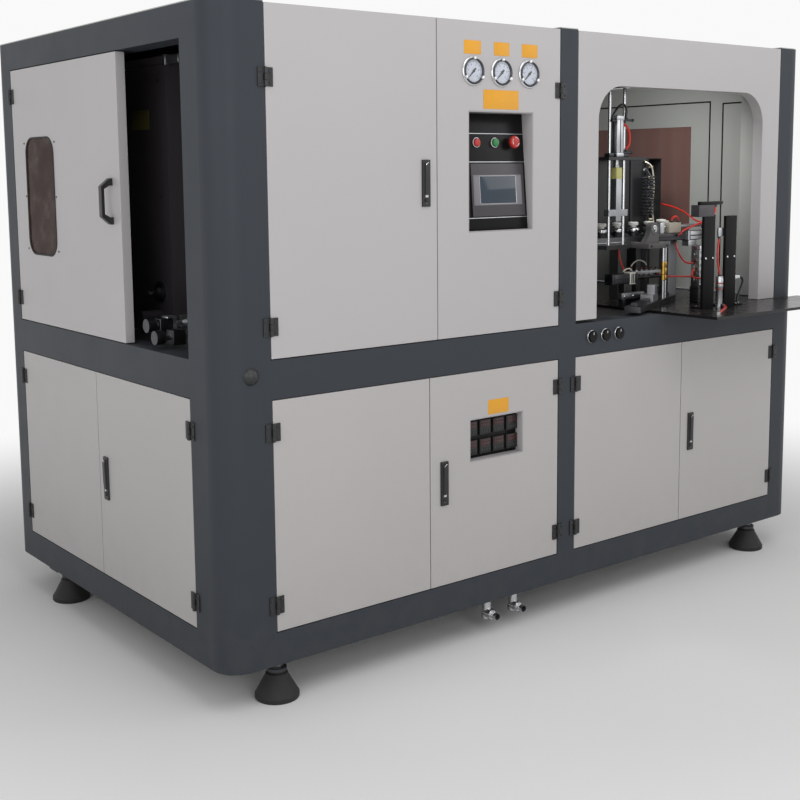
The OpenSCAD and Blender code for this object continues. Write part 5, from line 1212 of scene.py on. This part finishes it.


# Radius, finish and the points that each hose's middle line goes through
hose_routes = {
    "loader_supply": (4.5, "red hose", [
        (1790, 172, 1574), (1790, 172, 1567), (1803, 168, 1552), (1812, 166, 1533), (1815, 166, 1508),
        (1811, 168, 1488), (1803, 172, 1475), (1803, 172, 1466),
    ]),
    "loader_loop": (4.2, "black hose", [
        (1801, 172, 1582), (1801, 172, 1592), (1800, 170, 1612), (1792, 167, 1627), (1776, 166, 1634),
        (1757, 166, 1627), (1740, 167, 1611), (1732, 170, 1597), (1731, 172, 1588), (1731, 172, 1580),
    ]),
    "block_loop": (4, "red hose", [
        (2084, 186, 1198), (2084, 186, 1209), (2092, 183, 1219), (2104, 182, 1221), (2115, 183, 1215),
        (2122, 186, 1207), (2122, 186, 1198),
    ]),
    "front_feed": (3.2, "red hose", [
        (2104, 175, 1150), (2104, 167, 1150), (2108, 160, 1156), (2120, 158, 1167), (2185, 162, 1183),
        (2243, 168, 1193), (2266, 180, 1192), (2274, 190, 1182), (2274, 190, 1170),
    ]),
    "bank_feed": (3.2, "red hose", [
        (2380, 540, 1262), (2391, 540, 1262), (2408, 520, 1258), (2418, 460, 1246), (2414, 400, 1228),
        (2380, 340, 1212), (2330, 268, 1197), (2296, 214, 1192), (2285, 194, 1182), (2285, 194, 1170),
    ]),
    "drop_feed": (3.2, "red hose", [
        (2117, 192, 1128), (2117, 192, 1117), (2116, 184, 1096), (2111, 164, 1070), (2100, 136, 1052),
        (2099, 114, 1046), (2107, 102, 1046), (2116, 102, 1046),
    ]),
    "stack_loop": (3, "red hose", [
        (2116, 92, 1024), (2107, 92, 1024), (2094, 88, 1018), (2080, 82, 1006), (2078, 74, 996),
        (2090, 64, 992), (2112, 58, 990), (2132, 54, 988), (2146, 57, 986), (2150, 66, 986),
        (2150, 76, 986),
    ]),
    "row_lead": (2.2, "pale hose", [
        (1925, 245, 1028), (1925, 245, 1038), (1935, 243, 1048), (1950, 242, 1055), (1968, 242, 1057),
        (1987, 242, 1052), (2002, 243, 1045), (2009.6, 245, 1037), (2009.6, 245, 1028),
    ]),
    "row_feed": (3.2, "red hose", [
        (1915, 245, 1004), (1906, 245, 1004), (1895, 248, 1014), (1887, 254, 1034), (1880, 260, 1058),
        (1875, 263, 1084), (1872, 264, 1108), (1872, 264, 1128),
    ]),
    "row_bar": (3.2, "red hose", [
        (2050, 232, 1002), (2050, 222, 1002), (2047, 204, 998), (2050, 184, 995), (2064, 164, 994),
        (2084, 142, 994), (2100, 122, 994), (2108, 105, 994), (2116, 105, 994),
    ]),
    "low_lead": (2.4, "pale hose", [
        (1830, 200, 1016), (1830, 200, 1024), (1839, 198, 1031), (1853, 197, 1034), (1868, 198, 1031),
        (1873, 200, 1025), (1873, 200, 1016),
    ]),
    "strap": (3, "pale hose", [
        (2073, 318, 1428), (2073, 308, 1428), (2088, 294, 1412), (2096, 290, 1370), (2098, 289, 1320),
        (2094, 292, 1272), (2091, 286, 1220), (2088, 275, 1180), (2088, 273, 1160), (2088, 273, 1150),
    ]),
    "top_supply": (6, "red hose", [
        (2024, -59, 1271), (2024, -59, 1260), (2025, -58, 1248), (2024, -54, 1238), (2024, -54, 1229),
    ]),
    "riser_supply": (3.6, "red hose", [
        (2066, -56, 1008), (2066, -56, 1017), (2063, -56, 1032), (2058, -55, 1048), (2055, -54, 1080),
        (2058, -53, 1120), (2062, -53, 1142), (2062, -53, 1154),
    ]),
    "table_hose": (5, "red hose", [
        (2066, -70.3, 901), (2066, -80, 901), (2040, -106, 899.5), (1995, -134, 899.2),
        (1950, -160, 899.2), (1905, -186, 899.2), (1868, -206, 899.2),
    ]),
    "right_hose": (4.5, "black hose", [
        (2190, -50, 999), (2200, -50, 999), (2211, -50, 990), (2213, -50, 976), (2204, -50, 958),
        (2190, -50, 936), (2181, -50, 914), (2181, -50, 894),
    ]),
}
# The coiled hose's straight stretches, below and above its turns
coil_tail = [(2078, 306, 894), (2078, 306, 1000), (2078, 304, 1100), (2078, 302, 1160), (2080, 296, 1200)]
coil_lead = [(2078, 300, 1390), (2073, 308, 1399), (2071, 318, 1399)]


class MACHINE_OT_hoses(bpy.types.Operator):
    """Makes the hoses of the loading bay, each in a push-in collar at both ends, and the coiled hose."""

    bl_idname = "machine.hoses"
    bl_label = "Hoses"

    def execute(self, context):
        parts = []
        for radius, finish, points in hose_routes.values():
            path = np.array(points, float)
            parts.append((tube(curve(path), radius, 10), finish))
            collar = [(radius * r, h) for r, h in ((1.45, 0), (1.5, 1), (1.5, 5), (1.25, 6), (1.02, 6))]
            lip = [(radius * r, h) for r, h in ((1.3, 6), (1.35, 6.5), (1.35, 7.6), (1.05, 8))]
            for start, way in ((path[0], path[1] - path[0]), (path[-1], path[-2] - path[-1])):
                parts.append((lathe(collar, start, way, 14), "plastic"))
                parts.append((lathe(lip, start, way, 14), "grey plastic"))
        coil_r, pitch, turns, hose_r, lead_in = 21.9, 12.8, 12.3, 3.6, 5
        coil = helix((2061, 286, 1217), above, coil_r, pitch, turns)[lead_in:]
        path = np.concatenate([curve(coil_tail), coil, curve(coil_lead)])
        parts += [(tube(path, hose_r, 8), "spring"),
                  (lathe([(9, 0), (9, 6), (6, 9), (0, 9)], coil_lead[-1], front, 16), "zinc")]
        hoses = piece("bay_hoses", parts, "machine")
        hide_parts("hoses")
        return {"FINISHED"}


class MACHINE_OT_unions(bpy.types.Operator):
    """Makes the bright sleeves of the water unions and the rings of the inlets on the back."""

    bl_idname = "machine.unions"
    bl_label = "Unions and inlets"

    def execute(self, context):
        rear_face, inlet_z = 1575, 640
        stub = [(17, 0), (18, 1), (18, 12), (14.6, 14), (14.6, 60), (20, 61), (20, 75.5), (14.2, 76)]
        nose = [(17.4, 0), (17.4, 29), (15.5, 31), (11, 31), (11, 35), (12, 36), (12, 39), (11, 40),
                (11, 54.4), (7.6, 54.4), (7.6, 0)]
        parts = []
        for x in (1015, 1134):
            parts += [(lathe(stub, (x, 55, -76.4), above, 24), "bright"),
                      (lathe(nose, (x, 55.4, -60), front, 24, True), "bright")]
        piece("water_union_sleeves", parts, "machine")
        wide = [(15.1, 20), (15.1, 40.4), (21.4, 40.4), (21.4, 30), (22.4, 29), (22.4, 12), (21.4, 11),
                (21.4, 8.4), (26.4, 8.4), (26.4, 0.2), (15.1, 0.2)]
        narrow = [(9.1, 20), (9.1, 40.4), (14, 40.4), (16.4, 36), (16.4, 24), (18.4, 23), (18.4, 9),
                  (26.4, 8.4), (26.4, 0.2), (9.1, 0.2)]
        piece("inlet_rings", [
            (lathe(wide, (950, rear_face, inlet_z), back, 32, True), "zinc"),
            (lathe(narrow, (790, rear_face, inlet_z), back, 32, True), "plastic"),
        ], "machine")
        return {"FINISHED"}


class MACHINE_OT_stand(bpy.types.Operator):
    """Makes the stand rods with their brass sleeves, and the flat bar on the bed."""

    bl_idname = "machine.stand"
    bl_label = "Stand and flat bar"

    def execute(self, context):
        sleeve = [(8, 0), (9.5, 1.5), (9.5, 16), (8, 18), (8, 22), (9.5, 24), (9.5, 44), (8, 46), (8, 50),
                  (9.5, 52), (9.5, 68), (8, 70), (0, 70)]
        thin_sleeve = [(0.7 * r, h) for r, h in sleeve]
        bar_feet = [block((x, 160, table_top), (x + 14, 180, 926), 1) for x in (1786, 1882)]
        piece("table_small_parts", [
            (lathe(sleeve, (1988, 144, 985), above, 20), "brass"),
            (lathe(thin_sleeve, (2021, 160, 983), above, 20), "brass"),
            (tube([(2021, 160, z) for z in (900, 980, 1060, 1128)], 4.5, 12), "bright"),
            (block((1779, 160, 925), (1902, 180, 948), 1.5), "steel"),
            (joined(bar_feet), "black"),
            (screws([(x, 159.8, 936) for x in (1793, 1841, 1889)], front), "bright"),
        ], "machine")
        return {"FINISHED"}


class MACHINE_OT_uprights(bpy.types.Operator):
    """Makes the two uprights with their screws, top bar, bracket, riser and fittings on the table."""

    bl_idname = "machine.uprights"
    bl_label = "Uprights"

    def execute(self, context):
        y, top, foot_top = -68, 1229, table_top + 8
        plates, spots, foot_spots = [], [], []
        for x in (1957, 2083):
            plates += [block((x, y, table_top), (x + 62, y + 10, top), 0.8),
                       block((x, y + 9, table_top), (x + 62, -12, foot_top), 0.8),
                       block((x + 10, y + 9, foot_top - 1), (x + 74, y + 20, top), 0.8)]
            spots += [(x + 11, y, 1079), (x + 51, y, 1079)]
            foot_spots += [(x + 11, -30, foot_top), (x + 51, -30, foot_top)]
        riser = [(14, 0), (14, 8), (12.4, 10), (12.4, 66), (13.4, 68), (13.4, 72), (14, 73), (14, 85),
                 (12.6, 86), (12.6, 91), (14, 92), (14, 104), (13, 106), (13, 114), (0, 114)]
        bands = [ring((2066, -56, z), above, 12.6, 1.6) for z in (963, 982.6)]
        uprights = piece("upright_set", [
            (joined(plates), "upright"),
            (screws(spots, front, 4.2), "bright"),
            (screws(foot_spots, above, 4.2), "bright"),
            (block((1929, -66, top), (2015, -28, 1271.4), 2), "housing"),
            (block((1936, -66, 1271), (2062, -50, 1284), 3), "panel black"),
            *fitting_shapes((2058, -58, 1278), (1, 0, 0.1), 5.5, 12, "plastic"),
            (block((2054, -57, 1154), (2093, -49, 1186), 1.5), "aluminium"),
            (screws([(2078, -57, 1162), (2078, -57, 1178)], front, 3.6), "dark steel"),
            (lathe(riser, (2066, -56, table_top), above, 32), "aluminium"),
            (joined(bands), "red"),
            (block((2157, -56, 992), (2190, -44, 1006), 2), "bright"),
            (block((2160, -62, table_top), (2202, -38, foot_top - 1), 2), "panel black"),
            (screws([(2166, -56, foot_top - 1), (2196, -44, foot_top - 1)], above, 3.6), "bright"),
            (lathe([(9, 0), (9, 8), (7, 9), (7, 12), (0, 12)], (1860, -211, table_top), above, 24), "zinc"),
        ], "machine")
        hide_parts("table_uprights")
        return {"FINISHED"}


class MACHINE_OT_feet(bpy.types.Operator):
    """Makes the feet: ribbed rubber cone, steel collar, nut, threaded stud and plate."""

    bl_idname = "machine.feet"
    bl_label = "Feet"

    def execute(self, context):
        ground = extent("levelling_feet")[0][2]
        cone = [(64, 0), (66, 3), (66, 14), (63, 17), (61, 22), (36, 66), (33, 75), (27, 79), (27, 82),
                (0, 82)]
        collar = [(28, 80), (30, 82), (30, 92), (28, 94), (0, 94)]
        nut = [(19, 93), (20.5, 95), (20.5, 110), (19, 112), (0, 112)]
        stud = [(11, 100), (11, 118), (0, 118)]
        turnings = ((cone, 56, "rubber"), (collar, 40, "dark steel"), (nut, 6, "zinc"), (stud, 20, "zinc"))
        parts = []
        for x, y in ((200, 68), (2440, 68), (68, 1250), (2566, 1250), (1329.5, 330), (1329.5, 1250)):
            threads = [ring((x, y, ground + h), above, 11, 0.9, 20, 6) for h in (112.6, 114.6, 116.4)]
            parts += [(lathe(profile, (x, y, ground), above, n), finish) for profile, n, finish in turnings]
            parts += [(joined(threads), "zinc"),
                      (block((x - 65, y - 35, ground + 117), (x + 65, y + 35, ground + 125), 2), "frame")]
        feet = piece("machine_feet", parts, "machine")
        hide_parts("levelling_feet")
        return {"FINISHED"}


backdrop = (0.95, 0.95, 0.95, 1)


def staged(name, data):
    """A new object of the stage in the scene."""
    made = bpy.data.objects.new(name, data)
    bpy.context.scene.collection.objects.link(made)
    return made


def make_floor():
    """A wide pale floor just under the feet, which fades into the backdrop away from the machine."""
    ground, reach = cad_box[0][2] - 0.0005, 40.0
    plane = bpy.data.meshes.new("floor")
    plane.from_pydata([(x * reach, y * reach, ground) for x, y in ((-1, -1), (1, -1), (1, 1), (-1, 1))],
                      [], [(0, 1, 2, 3)])
    floor = staged("floor", plane)
    f = Finish("studio_floor")
    pale = f.mix(f.noise(1.5, 3), (0.93, 0.93, 0.93, 1), (0.97, 0.97, 0.97, 1))
    f.wear(Base_Color=pale, Roughness=0.85)
    away = f.node("ShaderNodeVectorMath", {"operation": "LENGTH"}, {0: f.place}, 1)
    white = f.node("ShaderNodeEmission", {}, {0: backdrop, 1: 1.0})
    near = Wire(f, f.shader.outputs[0])
    faded = f.node("ShaderNodeMixShader", {}, {0: away.step(1.5, 3.6), 1: near, 2: white})
    f.feed(f.tree.nodes["Material Output"].inputs[0], faded)
    plane.materials.append(f.material)


def make_sky(strength):
    """Even white light of a strength, while the camera, mirrors and panes see the backdrop's own white."""
    world = bpy.data.worlds.new("studio")
    bpy.context.scene.world = world
    sky = Nodes(world)
    light = sky.tree.nodes["Background"]
    light.inputs[0].default_value = (1, 1, 1, 1)
    light.inputs[1].default_value = strength
    white = sky.node("ShaderNodeBackground", {}, {0: backdrop})
    seen = sky.node("ShaderNodeLightPath", output="Is Camera Ray")
    rays = seen.socket.node.outputs
    for kind in ("Is Glossy Ray", "Is Transmission Ray"):
        seen = seen.maths("MAXIMUM", seen, Wire(sky, rays[kind]))
    shown = sky.node("ShaderNodeMixShader", {}, {0: seen, 1: Wire(sky, light.outputs[0]), 2: white})
    sky.feed(sky.tree.nodes["World Output"].inputs[0], shown)


def make_lamp(name, place, aim, power, size):
    """A square lamp at one machine point, turned to another. The bay's lamp makes no reflections."""
    data = bpy.data.lights.new(name, "AREA")
    data.energy, data.size = power, size
    lamp = staged(name, data)
    lamp.visible_camera = False
    lamp.visible_glossy = name != "bay"
    turn = Matrix(np.stack(axes_of(np.subtract(place, aim)), 1).tolist())
    lamp.matrix_world = Matrix.LocRotScale(spot(*place), turn, None)


def make_camera(lens):
    """The camera at the photographer's place, turned by its tip, roll and heading in degrees."""
    data = bpy.data.cameras.new("camera")
    data.lens, data.sensor_width = lens, 36.0
    data.shift_x, data.shift_y = -0.00305, -0.0896
    data.clip_end = 100.0
    camera = staged("camera", data)
    tip, roll, heading = 82.63961, 0.50226, -38.10671
    turn = Euler([math.radians(angle) for angle in (tip, roll, heading)])
    camera.matrix_world = Matrix.LocRotScale(spot(-1603.0, -2849.2, 1401.5), turn, None)
    bpy.context.scene.camera = camera


class MACHINE_OT_stage(bpy.types.Operator):
    """Sets the floor, the room's light, the lamps and the camera fitted to the view."""

    bl_idname = "machine.stage"
    bl_label = "Stage"

    def execute(self, context):
        settings = context.scene.machine_stage
        context.scene.view_settings.view_transform = "Standard"
        make_floor()
        make_sky(settings.sky)
        make_lamp("key", (400, -2600, 4600), (1300, 500, 900), settings.key_power, 3.0)
        make_lamp("fill", (-2600, -1200, 2200), (200, 900, 900), settings.fill_power, 2.5)
        make_lamp("eye", (-300, -3600, 1700), (1800, 500, 1150), settings.eye_power, 1.5)
        make_lamp("bay", (2050, 320, 1690), (2250, 800, 1000), settings.bay_power, 0.2)
        make_lamp("side", (4200, -2600, 3000), (1800, 300, 900), settings.fill_power, 2.5)
        make_camera(settings.lens)
        return {"FINISHED"}


steps = (
    MACHINE_OT_cad_finishes, MACHINE_OT_control_panel, MACHINE_OT_touch_screen, MACHINE_OT_buttons,
    MACHINE_OT_gauges, MACHINE_OT_temperature_panel, MACHINE_OT_regulator_knobs, MACHINE_OT_locks,
    MACHINE_OT_hinge_screws, MACHINE_OT_plates, MACHINE_OT_end_window, MACHINE_OT_end_seals,
    MACHINE_OT_guard, MACHINE_OT_loader, MACHINE_OT_preform_track, MACHINE_OT_bearing_bracket,
    MACHINE_OT_cylinders, MACHINE_OT_valves, MACHINE_OT_hoses, MACHINE_OT_unions, MACHINE_OT_stand,
    MACHINE_OT_uprights, MACHINE_OT_feet, MACHINE_OT_stage,
)
groups = {"machine_paint": MachinePaint, "machine_edges": EdgeSizes, "machine_stage": StageSettings}


class MACHINE_PT_looks(bpy.types.Panel):
    """Lists the machine's steps and settings in the sidebar."""

    bl_label = "Blow moulding machine"
    bl_space_type = "VIEW_3D"
    bl_region_type = "UI"
    bl_category = "Machine"

    def draw(self, context):
        for name, group in groups.items():
            box = self.layout.box()
            for key in group.__annotations__:
                box.prop(getattr(context.scene, name), key)
        for step in steps:
            self.layout.operator(step.bl_idname)


def register():
    for group in (*groups.values(), *steps, MACHINE_PT_looks):
        bpy.utils.register_class(group)
    for name, group in groups.items():
        setattr(bpy.types.Scene, name, bpy.props.PointerProperty(type=group))


def unregister():
    for name in groups:
        delattr(bpy.types.Scene, name)
    for group in reversed((*groups.values(), *steps, MACHINE_PT_looks)):
        bpy.utils.unregister_class(group)


def main():
    """Registers the add-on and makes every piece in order."""
    register()
    for step in steps:
        family, name = step.bl_idname.split(".")
        getattr(getattr(bpy.ops, family), name)()


if __name__ == "__main__":
    main()
